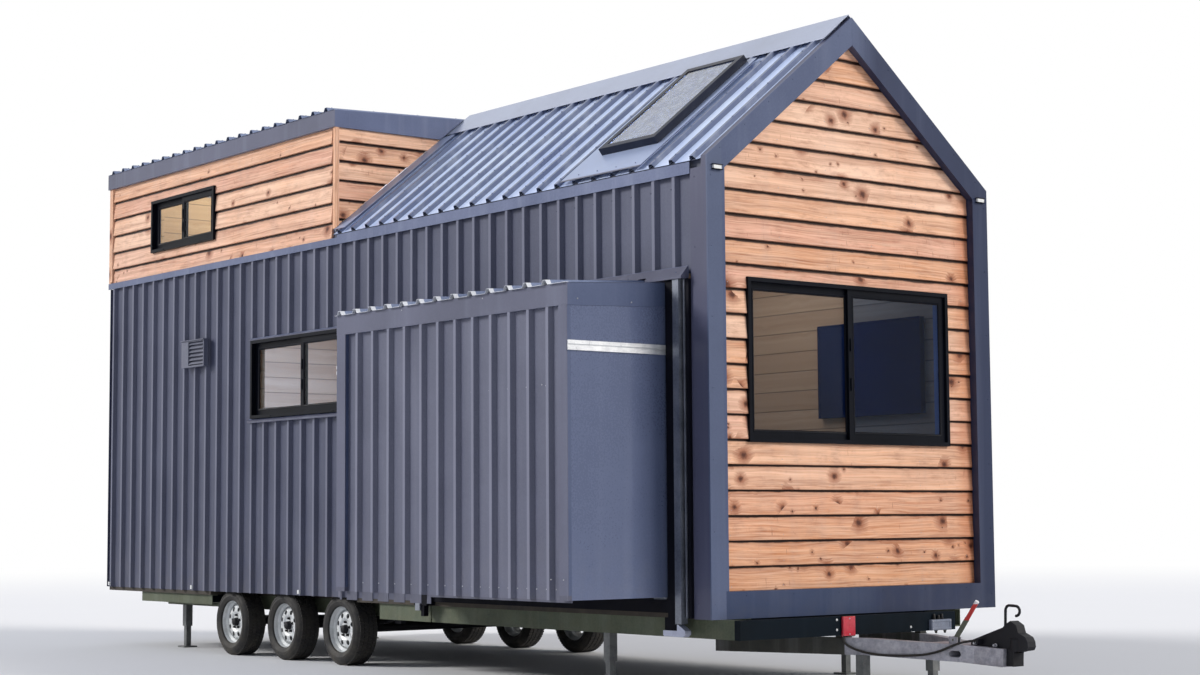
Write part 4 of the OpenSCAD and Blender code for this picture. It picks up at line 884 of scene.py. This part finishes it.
def makeLoftBoards():
    b = boardSettings
    rear, sideFace = loftLow.x - frontX, halfWidth - b["sideWall"]
    boards = Boards()
    for side in (-1, 1):
        boards.course(lambda s, o, z: house(-side * s, side * (sideFace + o), z),
                      *sorted(-side * end for end in (rear + b["rearCorner"], b["loftFront"] - b["frontCorner"])),
                      loftLow.z, loftHigh.z, b["loftSideLap"], b["loftExposure"], [windowHole("loft", -side)],
                      joints=[-side * joint for joint in b["sideJoints"]], seed=11 + side)
    reach = halfWidth - b["rearCorner"]
    boards.course(lambda s, o, z: house(rear + b["rearInset"] - o, s, z), -reach, reach, loftLow.z, loftHigh.z,
                  b["loftSideLap"], b["loftExposure"], joints=b["rearJoints"], seed=23)
    for side in (-1, 1):
        front = Boards()
        front.course(lambda s, o, z: house(b["loftFront"] + o, side * s, z), 0.1, halfWidth - b["frontCorner"],
                     loftLow.z, loftHigh.z, b["loftFrontLap"], b["loftFrontExposure"], seed=31 + side)
        front.trim(*aboveRoof(side))
        boards.merge(front)
    boards.make("loftBoards", "loft_boards")


def makeCornerBoards():
    # two lapped upright boards with soft edges on each corner of the loft
    b = boardSettings
    boards, dice = Boards(), random.Random(5)
    for side in (-1, 1):
        for end, inward in ((loftLow.x - frontX, 1), (loftHigh.x - frontX, -1)):
            part = Boards()
            wide = b["rearCorner"] if inward > 0 else b["frontCorner"]
            for width, near, far in ((wide, 0.0, b["stop"]), (b["stop"], b["sideWall"], wide)):
                uprightBoard(part, sorted((end, end + inward * width)),
                             sorted((side * (halfWidth - near), side * (halfWidth - far))), dice)
            if inward < 0:
                part.trim(*aboveRoof(side))
            boards.merge(part)
    boards.make("loftCornerBoards", "loft_boards")


def uprightBoard(boards, xs, ys, dice):
    (x0, x1), (y0, y1), edge = xs, ys, boardSettings["roundEdge"]
    outline = [(x0 + edge, y0), (x1 - edge, y0), (x1, y0 + edge), (x1, y1 - edge), (x1 - edge, y1), (x0 + edge, y1),
               (x0, y1 - edge), (x0, y0 + edge)]
    shift, lift, tones = dice.uniform(0, 40), dice.uniform(0, 60), (dice.random(), dice.random() * 0.7)
    boards.bar(house, outline, (loftLow.z, loftHigh.z), lambda x, y, z: (z + shift, x + y + lift),
               lambda x, y, z: (*tones, 0.5, 1))


makeGableBoards()
makeLoftBoards()
makeCornerBoards()
print("cedar boards laid")


# Wheels

wheelSettings = {
    "carcass": 0.2555, "width": 0.195, "bead": 0.1665, "segments": 96, "rimSegments": 80, "rimInset": 0.022,
    "tread": {"Radius": 0.2563, "Rows": 4, "Blocks": 62, "Row Gap": 0.0375, "Block Length": 0.0215,
              "Block Width": 0.031, "Block Height": 0.0115},
    "beadWall": ((0, 0.024), (0.006, 0.012), (0.02, 0.005), (0.034, 0.001), (0.036, 0), (0.04, 0.001)),
    "shoulder": ((0.036, 0.001), (0.022, 0.006), (0.01, 0.014), (0.002, 0.024)), "crown": (-0.058, -0.0565, 0.0),
    # radius past the bead, side and offset from the rim's edge
    "rim": ((0.0135, 1, 0.004), (0.0145, 1, 0.009), (0.011, 1, 0.012), (0.006, 1, 0.009), (-0.001, 1, -0.004),
            (-0.006, 1, -0.03), (-0.022, 1, -0.045), (-0.024, 0, -0.02), (-0.004, -1, 0.02), (0.011, -1, -0.01),
            (0.0135, -1, -0.006), (0, -1, 0.006), (-0.001, -1, 0.02), (-0.020, 0, -0.018), (-0.018, 1, -0.049),
            (-0.0025, 1, -0.032), (0.0015, 1, -0.006)),
    "disc": ((0.034, 0.034), (0.062, 0.034), (0.074, 0.043), (0.086, 0.046), (0.122, 0.040), (0.136, 0.026),
             (0.143, 0.012), (0.143, 0.006), (0.134, 0.021), (0.121, 0.035), (0.086, 0.041), (0.076, 0.038),
             (0.063, 0.029), (0.034, 0.029)),
    "hub": ((0.0, 0.07), (0.02, 0.07), (0.027, 0.066), (0.030, 0.058), (0.031, 0.046), (0.033, 0.045), (0.033, 0.02),
            (0.0, 0.02)),
    "holes": 8, "holeRadius": 0.0185, "holeCircle": 0.104, "holeSides": 24, "nuts": 5, "nutCircle": 0.052,
    "nutFace": -0.034,
}


def onCircle(step, count, radius, y=0.0):
    t = circle * step / count
    return Vector((math.cos(t) * radius, y, math.sin(t) * radius))


def absorb(shape, obj):
    shape.add([v.co for v in obj.data.vertices], [tuple(p.vertices) for p in obj.data.polygons])
    bpy.data.objects.remove(obj)


def makeWheelMeshes():
    w = wheelSettings
    r, half, bead = w["carcass"], w["width"] / 2, w["bead"]
    tyre, rim, disc, drills, hub = (Shape() for part in range(5))

    def turned(a, b, h):
        return Vector((a, -h, b))   # outer face towards -Y

    wall = [(bead + up, inset - half) for up, inset in w["beadWall"]]
    wall += [(r - down, inset - half) for down, inset in w["shoulder"]]
    wall += [(r, x) for x in w["crown"]]
    tyre.lathe(wall + [(p, -h) for p, h in reversed(wall[:-1])], turned, w["segments"])
    absorb(tyre, grow("tread", bpy.data.meshes.new("treadBlank"), treadTree, dict(w["tread"], Material=paint["tyre"])))
    for side in (-1, 1):        # low ribs on each sidewall
        foot, top = side * (half - 0.002), side * (half - 0.0002)
        for radius in (bead + 0.05, bead + 0.056):
            tyre.lathe([(radius - 0.0012, foot), (radius, top), (radius + 0.0012, foot)], turned, 72)

    edge = half - w["rimInset"]
    rim.lathe([(bead + up, side * edge + offset) for up, side, offset in w["rim"]], turned, w["rimSegments"])
    disc.lathe(w["disc"], turned, w["rimSegments"])
    plate = disc.make("discPlate")
    size, sides = w["holeRadius"], w["holeSides"]
    bore = [(size * math.cos(circle * i / sides), size * math.sin(circle * i / sides)) for i in range(sides)]
    for k in range(w["holes"]):
        centre = onCircle(k + 0.5, w["holes"], w["holeCircle"])
        drills.prism(bore, lambda u, v, h: centre + Vector((u, -h, v)), -0.02, 0.08)
    cutter = drills.make("discDrills")
    cut = plate.modifiers.new("holes", "BOOLEAN")
    cut.object, cut.operation, cut.solver = cutter, "DIFFERENCE", "EXACT"
    baked(plate)
    bpy.data.objects.remove(cutter)
    absorb(rim, plate)
    hub.lathe(w["hub"], turned, 40)
    return (("tyre", tyre, "tyre", "tyre"), ("rim", rim, "rim", "tyre"), ("hub", hub, "underBlack", "black_steel"))


def placeWheel(node, parts):
    low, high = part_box(node)
    centre = (low + high) / 2
    side = 1 if centre.y > midY else -1
    spin = Matrix.Rotation(math.pi if side > 0 else 0, 4, "Z")
    body = node + "_body"
    for label, shape, finish, slot in parts:
        copy = Shape()
        copy.add([centre + spin @ Vector(p) for p in shape.points], shape.faces)
        fitPiece(copy.make(node + "_" + label, angle=30), body, slot, finish, *([] if label == "hub" else [node]))
    w = wheelSettings
    spots = [(centre + spin @ onCircle(k + 0.25, w["nuts"], w["nutCircle"], w["nutFace"]), (0, side, 0))
             for k in range(w["nuts"])]
    fasten(node + "_nuts", spots, "nut", body, "black_steel", "underBlack")


wheelParts = makeWheelMeshes()
for node in sorted(nodes):
    if node.startswith("wheel_"):
        placeWheel(node, wheelParts)
print("wheels fitted")


# Screws on the ribbed sheets and the trim

ribs = {"pitch": 0.1905, "first": 0.120, "height": 0.029, "besideRib": 0.047, "podShift": 0.050, "skin": 0.002}
panDepth = ribs["height"] - ribs["skin"]     # from the rib tops to the face of the pans
screwRows = {
    "wall": (1.12, 1.72, 2.36), "bottom": 0.05, "top": 0.07, "beside": 0.05, "above": 0.04, "doorGap": 0.03,
    "podReach": 0.32, "podTop": 2.56, "rear": 6, "roof": (0.045, 0.42, 0.80, 1.18), "crest": 0.0164,
    "skylight": (0.66, 1.26, 0.22, 1.30), "loft": (0.06, 0.42, 0.82, 1.19), "loftFall": 2.3, "loftSink": 0.0006,
    "podEnd": (-1.919, -1.516), "podEndZ": 2.333, "podBottom": 0.06, "podMiddle": 1.838, "podEdge": 0.01,
    "bandOut": 0.004, "end": 0.03, "wallFront": 0.2, "wallRear": 0.05, "roofRear": 0.16, "loftLean": 0.04,
    "podTrim": ((-0.60, 1.842), (-0.52, 0.712), (-0.40, 0.712), (-1.2, 2.40), (-2.1, 2.40)),
}
slopeOut = Vector((0, -math.sin(pitch), math.cos(pitch)))
slopeUp = Vector((0, math.cos(pitch), math.sin(pitch)))


def ribsBetween(front, back, shift=0.0):
    # distances behind the front trim of the rib centres
    first = ribs["first"] + shift
    k = math.ceil((front - first) / ribs["pitch"])
    found = []
    while first + k * ribs["pitch"] < back:
        found.append(first + k * ribs["pitch"])
        k += 1
    return found


def onSlope(back, up, lift, side):
    spot = house(-back, -halfWidth, eave) + slopeUp * up + slopeOut * lift
    return spot if side < 0 else Vector((spot.x, 2 * midY - spot.y, spot.z))


def makeWallScrews():
    r, side = screwRows, windows["side"]
    low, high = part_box("wall_cladding")
    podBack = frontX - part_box("slide_cladding")[0].x
    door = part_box("entry_door")
    rows = (low.z + r["bottom"], *r["wall"], high.z - r["top"])
    panY = halfWidth - panDepth
    spots = []
    for back in ribsBetween(r["wallFront"], frontX - low.x - r["wallRear"]):
        x = back + ribs["besideRib"]
        for z in rows:
            if abs(x - side["centre"]) < side["w"] / 2 + r["beside"] and (
                    side["z"] - r["beside"] < z < side["z"] + side["h"] + r["above"]):
                continue
            if not (x < podBack + r["podReach"] and z < r["podTop"]):
                spots.append((house(-x, -panY, z), (0, -1, 0)))
            gap = r["doorGap"]
            if not (door[0].x - gap < frontX - x < door[1].x + gap and z < door[1].z + gap):
                spots.append((house(-x, panY, z), (0, 1, 0)))
    rearX = low.x - frontX + panDepth
    for k in range(-r["rear"], r["rear"] + 1):
        y = k * ribs["pitch"] + ribs["besideRib"]
        if abs(y) < halfWidth - r["end"]:
            spots += [(house(rearX, y, z), (-1, 0, 0)) for z in rows]
    fasten("wallScrews", spots, "sheet", "house", "wall_sheet", "wall")


def makeRoofScrews():
    low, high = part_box("roof_sheets")
    skyFront, skyBack, skyLow, skyHigh = screwRows["skylight"]
    end, spots = screwRows["end"], []
    for back in ribsBetween(frontX - high.x + end, frontX - low.x - screwRows["roofRear"]):
        for up in screwRows["roof"]:
            for side in (-1, 1):
                if side > 0 or not (skyFront < back < skyBack and skyLow < up < skyHigh):
                    spots.append((onSlope(back, up, screwRows["crest"], side), (0, -side * slopeOut.y, slopeOut.z)))
    low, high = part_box("loft_roof")
    fall = math.tan(math.radians(screwRows["loftFall"]))
    for back in ribsBetween(frontX - high.x + end, frontX - low.x - end):
        for across in screwRows["loft"]:
            for side in (-1, 1):
                z = high.z - across * fall - screwRows["loftSink"]
                spots.append((house(-back, side * across, z), (0, side * screwRows["loftLean"], 1)))
    fasten("roofScrews", spots, "sheet", "house", "roof_sheet", "roof")


def makePodScrews():
    low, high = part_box("slide_cladding")
    face = low.y - midY + panDepth
    front, back = frontX - high.x, frontX - low.x
    r, beside = screwRows, ribs["besideRib"]
    spots = []
    for rib in ribsBetween(front + r["end"], back - r["end"], ribs["podShift"]):
        for z, offsets in ((low.z + r["podBottom"], (-beside, beside)), (r["podMiddle"], (beside,))):
            spots += [(house(-rib - offset, face, z), (0, -1, 0)) for offset in offsets
                      if front + r["podEdge"] < rib + offset < back - r["podEdge"]]
    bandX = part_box("slide_walls")[1].x + r["bandOut"]       # of the band on the front end wall
    spots += [(Vector((bandX, midY + y, r["podEndZ"])), (1, 0, 0)) for y in r["podEnd"]]
    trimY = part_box("slide_trim")[0].y - midY
    spots += [(house(x, trimY, z), (0, -1, 0)) for x, z in r["podTrim"]]
    fasten("podScrews", spots, "trim", "slide_out", "wall_sheet", "screw")


trimScrews = {      # first place, step and count of each row, and what it stands off
    "post": (0.56, 0.42, 7), "barge": (0.12, 0.2, 6), "sill": (-0.95, 0.38, 6), "header": (-0.22, -0.45, 7),
    "inset": 0.03, "wrap": -0.118, "underEdge": 0.035, "overSill": 0.135, "headerOut": 0.06, "headerUp": 0.038,
}
nailSettings = {
    "rows": 24, "rowsBelowLap": 17, "overLap": 0.03, "across": (-1.02, -0.6, -0.2, 0.2, 0.6, 1.02), "out": 0.0206,
    "windowGap": 0.02, "underTop": 0.2, "underSlope": 0.03, "scatter": (0.006, 0.003), "lean": 0.07,
}


def stations(first, step, count):
    return [first + step * k for k in range(count)]


def makeTrimScrews():
    t = trimScrews
    spots = []
    for z in stations(*t["post"]):
        spots += [(house(0, side * (halfWidth - t["inset"]), z), (1, 0, 0)) for side in (-1, 1)]
        spots += [(house(t["wrap"], side * halfWidth, z), (0, side, 0)) for side in (-1, 1)]
    for y in stations(*t["barge"]):
        z = eave + (halfWidth - y) * math.tan(pitch) - t["underEdge"]
        spots += [(house(0, side * y, z), (1, 0, 0)) for side in (-1, 1)]
    spots += [(house(0, y, trimLow.z + t["overSill"]), (1, 0, 0)) for y in stations(*t["sill"])]
    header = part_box("slide_seal")[1].z + t["headerUp"]
    spots += [(house(x, -halfWidth - t["headerOut"], header), (0, -1, 0)) for x in stations(*t["header"])]
    fasten("trimScrews", spots, "trim", "house", "trim", "trim")


def makeNails():
    n, window, dice = nailSettings, windows["gable"], random.Random(9)
    (sideways, upDown), gap = n["scatter"], n["windowGap"]
    spots = []
    for k in range(n["rows"]):
        z = boardSettings["gableLap"] - boardSettings["exposure"] * (n["rowsBelowLap"] - k) + n["overLap"]
        for y in n["across"]:
            if abs(y) < window["w"] / 2 + gap and window["z"] - gap < z < window["z"] + window["h"] + gap:
                continue
            if z < trimHigh.z - n["underTop"] - abs(y) * math.tan(pitch) - n["underSlope"]:
                spot = house(gableFace + n["out"], y + dice.uniform(-sideways, sideways),
                             z + dice.uniform(-upDown, upDown))
                spots.append((spot, (1, 0, n["lean"])))
    fasten("boardNails", spots, "nail", "house", "cedar", "screw")


makeWallScrews()
makeRoofScrews()
makePodScrews()
makeTrimScrews()
makeNails()
print("screws and nails set")


# Windows: glazing beads, gaskets and latches

frameSettings = {
    "outer": 0.0252, "sash": 0.038, "overlap": 0.021, "deep": -0.024, "near": -0.002, "beadWide": 0.011,
    "bead": ((0, -0.006), (0, 0.0), (0.002, 0.0024), (0.0055, 0.0018), (0.011, -0.002), (0.011, -0.006)),
    "gasket": ((-0.0005, -0.006), (-0.0005, -0.0035), (0.003, -0.0035), (0.0035, -0.006)),
    "reveal": ((0, 0.0), (0.012, 0.0), (0.012, 0.052), (0.0, 0.052)), "cover": 0.0148,
    "handle": (0.25, 0.007, 0.04, -0.0005, 0.009),      # share of the half height, half sizes, both faces
    # share of the half width, half length, both distances from the edge, which edge, outer face
    "covers": ((0.6, 0.018, 0.006, 0.016, -1, 0.018), (0.5, 0.012, 0.007, 0.016, 1, 0.0165)),
}


def wallPlacer(key, side):
    # at(u, v, out): u to the right as seen from outside, v up, out from the wall's outer face
    w = windows[key]
    middle = w["z"] + w["h"] / 2
    if key == "gable":
        return lambda u, v, out: house(-0.055 + out, u, middle + v)
    face = halfWidth - (0.004 if key == "loft" else 0)
    return lambda u, v, out: house(-w["centre"] + u, side * (face + out), middle + v)


def makeWindowDetails():
    beads, gaskets, latches = Shape(), Shape(), Shape()
    f = frameSettings
    for key, side in (("gable", 1), ("side", -1), ("side", 1), ("loft", -1), ("loft", 1)):
        at = wallPlacer(key, side)
        halfW, halfH = windows[key]["w"] / 2, windows[key]["h"] / 2
        sashHalf = (halfW + f["overlap"] - f["outer"]) / 2
        inner, innerH = sashHalf - f["sash"], halfH - f["outer"] - f["sash"]
        for left, depth in ((1, f["deep"]), (-1, f["near"])):
            middle = (-halfW + f["outer"] + sashHalf) * left
            place = lambda u, v, out: at(middle + u, v, depth + out)
            beads.ring(place, inner + 0.001, innerH + 0.001, f["bead"])
            gaskets.ring(place, inner - f["beadWide"], innerH - f["beadWide"], f["gasket"])
        share, wide, long, inner, outer = f["handle"]
        for v in (-share * halfH, share * halfH):
            latches.plate(at, -wide, wide, v - long, v + long, f["near"] + inner, f["near"] + outer)
        for share, reach, near, far, edge, outer in f["covers"]:
            low, high = sorted((edge * (halfH - near), edge * (halfH - far)))
            for u in (-halfW * share, halfW * share):
                latches.plate(at, u - reach, u + reach, low, high, f["cover"], outer)
    fitPiece(beads.make("glazingBeads"), "house", "window_black", "black")
    fitPiece(gaskets.make("glazingGaskets"), "house", "seal_rubber", "rubber")
    fitPiece(latches.make("windowLatches", bevel=0.001), "house", "window_black", "black")


def makeReveals():
    # pale linings of the gable window, behind its frame
    w = windows["gable"]
    reveal = Shape()
    middle, play = w["z"] + w["h"] / 2, 0.0005
    reveal.ring(lambda u, v, out: house(-0.111 - out, u, middle + v), w["w"] / 2 - play, w["h"] / 2 - play,
                frameSettings["reveal"])
    fitPiece(reveal.make("windowReveal", bevel=0.001), "house", "inner_panel", "cap")


makeWindowDetails()
makeReveals()
print("window details made")


# Lamps, coupling and other small hardware

def makeLamps():
    low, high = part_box("red_lamp")
    base, lens = Shape(), Shape()
    foot, rim = 0.005, 0.003
    base.box(low, (low.x + foot, high.y, high.z))
    middle = (low + high) / 2
    halfW, halfH = (high.y - low.y) / 2 - rim, (high.z - low.z) / 2 - rim
    top = high.x - low.x - foot - 0.0008

    def face(u, v, out):
        return Vector((low.x + foot + 0.0003 + out, middle.y + u, middle.z + v))

    lens.ring(face, halfW, halfH, [(0, 0), (0, top - 0.007), (0.004, top - 0.001), (0.014, top), (halfW - 0.002, top),
                                   (halfW - 0.002, 0)])
    lens.plate(face, -0.0025, 0.0025, -halfH * 0.9, halfH * 0.9, 0.0, top - 0.0012)
    fitPiece(base.make("redLampBase", bevel=0.0015), "house", "black_steel", "black", "red_lamp")
    fitPiece(lens.make("redLampLens", bevel=0.001), "house", "lamp_red", "redLens", "red_lamp")
    fasten("redLampScrews", [(Vector((high.x - 0.0008, middle.y, middle.z + v)), (1, 0, 0)) for v in (-0.046, 0.046)],
           "trim", "house", "drawbar_steel", "screw")
    fasten("beamScrews", [(Vector((low.x, midY + y, z)), (1, 0, 0))
                          for y, z in ((-0.403, 0.45), (-0.403, 0.39), (0.231, 0.385))],
           "sheet", "house", "drawbar_steel", "clearLens")


def makeBoxDetails():
    low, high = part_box("junction_box")
    lid, glands = Shape(), Shape()
    edge, corner = 0.002, 0.009
    centreY, centreZ = (low.y + high.y) / 2, (low.z + high.z) / 2
    lid.ring(lambda u, v, out: Vector((high.x + out, centreY + u, centreZ + v)),
             (high.y - low.y) / 2 - edge, (high.z - low.z) / 2 - edge,
             [(0, -0.002), (0, 0.001), (0.003, 0.004), (0.012, 0.004), (0.014, 0.001), (0.014, -0.002)])
    gland = [(0.0, 0.034), (0.005, 0.034), (0.008, 0.028), (0.008, 0.012), (0.0105, 0.011), (0.0105, -0.001),
             (0.0, -0.001)]
    for y, up, size in ((0.035, 1, 1.0), (0.075, 1, 0.8), (0.105, 1, 1.0), (0.05, -1, 0.55), (0.13, -1, 0.55)):
        centre = Vector(((low.x + high.x) / 2, low.y + y, high.z if up > 0 else low.z))
        glands.lathe([(r, h * size) for r, h in gland], lambda a, b, h: centre + Vector((a, b, h * up)), 18)
    fitPiece(lid.make("boxLid", bevel=0.0008), "house", "box_grey", "box")
    fitPiece(glands.make("boxGlands"), "house", "black_steel", "cable")
    fasten("boxScrews", [(Vector((high.x + 0.0035, y, z)), (1, 0, 0)) for y in (low.y + corner, high.y - corner)
                         for z in (low.z + corner, high.z - corner)], "trim", "house", "drawbar_steel", "screw")


def makeMarkerBases():
    base = Shape()
    bottom, thick = eave - 0.087, 0.005
    for side in (-1, 1):
        middle = midY + side * 1.153
        y0, y1 = sorted((middle - side * 0.04, middle + side * 0.038))
        for z, deep in ((bottom, 0.018), (bottom + 0.028, 0.019)):
            base.plate(lambda u, v, w: Vector((w, u, v)), y0, y1, z, z + thick, frontX, frontX + deep)
    fitPiece(base.make("clearanceLampBases", bevel=0.001), "house", "black_steel", "black")


nose = {"turn": math.radians(2.5), "x": 0.340, "z": 0.343}      # the drawbar is tipped down from this bend


def onNose(x, y, z):
    along, up, cos, sin = x - nose["x"], z - nose["z"], math.cos(nose["turn"]), math.sin(nose["turn"])
    return house(nose["x"] + along * cos + up * sin, y, nose["z"] - along * sin + up * cos)


drawbarSettings = {     # welds are (start, length, off the middle, over the top, radius), the last one across the nose
    "nutX": (0.96, 1.11), "nutY": 0.046, "nutUp": 0.014, "armWeld": (0.14, 0.05, 0.3655, 0.0008, 0.004),
    "noseWeld": (0.80, 0.385, 0.0705, -0.0995, 0.0035), "endWeld": (-0.066, 0.132, 1.1905, -0.0985, 0.0035), "sides": 8,
}


def makeDrawbarHardware():
    d, top, weld = drawbarSettings, nose["z"], Shape()
    spots = [(onNose(x, side * d["nutY"], top + d["nutUp"]), (0, side, 0)) for x in d["nutX"] for side in (-1, 1)]
    fasten("couplingNuts", spots, "nut", "house", "drawbar_steel", "screw")
    for side in (-1, 1):
        start, length, y, up, radius = d["armWeld"]
        weld.tube([house(start + length * t, side * y, top + up) for t in (0, 0.5, 1)], radius, d["sides"])
        start, length, y, up, radius = d["noseWeld"]
        weld.tube([onNose(start + t * length, side * y, top + up) for t in (0, 0.33, 0.66, 1)], radius, d["sides"])
    start, length, x, up, radius = d["endWeld"]
    weld.tube([onNose(x, start + length * t, top + up) for t in (0, 0.5, 1)], radius, d["sides"])
    fitPiece(weld.make("drawbarWelds"), "house", "drawbar_steel", "galvanised")


makeLamps()
makeBoxDetails()
makeMarkerBases()
makeDrawbarHardware()
print("lamps and hardware made")


# Floor, world and lights

stage = {"radius": 120, "near": 13, "far": 34, "colour": (222, 223, 226), "shade": (206, 207, 208), "roughness": 0.8,
         "sky": (226, 236, 255), "skyStrength": 0.45}
white = (1, 1, 1, 1)
suns = {
    "key": {"from": (-0.62, -0.62, 0.48), "strength": 2.7, "angle": 16, "colour": (255, 252, 248)},
    "front": {"from": (0.75, 0.40, 0.5), "strength": 2.2, "angle": 24, "colour": (255, 248, 238)},
}
roomLamps = {      # daylight that the closed rooms don't get through their glass
    "front": {"place": (-1.6, 0.1, 2.95), "tilt": 0, "size": 1.4, "power": 14, "colour": (250, 240, 240)},
    "rear": {"place": (-6.4, 0.1, 2.95), "tilt": 0, "size": 1.4, "power": 130, "colour": (166, 197, 255)},
    "loft": {"place": (-6.3, 0.0, 3.2), "tilt": 180, "size": 1.0, "power": 140, "colour": (255, 240, 212)},
}


def makeStage():
    floor = Shape()
    middle = (Vector(cadBox[0]) + Vector(cadBox[1])) / 2
    floor.lathe([(0, 0), (stage["radius"], 0)], lambda a, b, h: Vector((middle.x + a, middle.y + b, h)), 96,
                closed=False)
    obj = floor.make("studioFloor")
    material, net, shader = newMaterial("studioFloor")
    vector = net.place()
    patches = net.remap(net.noise(vector, 0.8, 4), 0.3, 0.7, 0.0, 0.05)
    net.fill(shader.inputs, Base_Color=net.mix(patches, stage["colour"], stage["shade"]), Roughness=stage["roughness"])
    fromMiddle = net.vectors("ADD", vector, (-middle.x, -middle.y, 0))
    distance = net.node("ShaderNodeVectorMath", {0: fromMiddle}, operation="LENGTH")["Value"]
    fade = net.node("ShaderNodeMapRange", {0: distance, 1: stage["near"], 2: stage["far"]},
                    interpolation_type="SMOOTHSTEP")[0]
    bright = net.node("ShaderNodeEmission", {"Color": white, "Strength": 1.0})[0]
    mixed = net.node("ShaderNodeMixShader", {0: net.times(net.seenRays(), fade), 1: shader.outputs[0], 2: bright})[0]
    net.put(mixed, next(n for n in net.tree.nodes if n.type == "OUTPUT_MATERIAL").inputs[0])
    obj.data.materials.append(material)


def makeWorld():
    world = bpy.data.worlds.new("studio")
    bpy.context.scene.world = world
    world.use_nodes = True
    net = Wiring(world.node_tree)
    net.tree.nodes.clear()
    light = net.node("ShaderNodeBackground", {"Color": stage["sky"], "Strength": stage["skyStrength"]})[0]
    blank = net.node("ShaderNodeBackground", {"Color": white, "Strength": 1.0})[0]
    mixed = net.node("ShaderNodeMixShader", {0: net.seenRays(), 1: light, 2: blank})[0]
    net.put(mixed, net.tree.nodes.new("ShaderNodeOutputWorld").inputs[0])


def addLight(name, kind, power, colour):
    lamp = bpy.data.lights.new(name, kind)
    lamp.energy, lamp.color = power, srgb(*colour)[:3]
    return lamp, linked(name, lamp)


def makeLights():
    for name, light in suns.items():
        lamp, obj = addLight(name + "Light", "SUN", light["strength"], light["colour"])
        lamp.angle = math.radians(light["angle"])
        obj.rotation_euler = Vector(light["from"]).to_track_quat("Z", "Y").to_euler()
    for name, light in roomLamps.items():
        lamp, obj = addLight(name + "Room", "AREA", light["power"], light["colour"])
        lamp.size = light["size"]
        obj.location = house(*light["place"])
        obj.rotation_euler = (math.radians(light["tilt"]), 0, 0)
        obj.visible_camera = obj.visible_glossy = obj.visible_transmission = False


makeStage()
makeWorld()
makeLights()
bpy.context.scene.view_settings.view_transform = "Standard"
print("stage, world and lights ready")
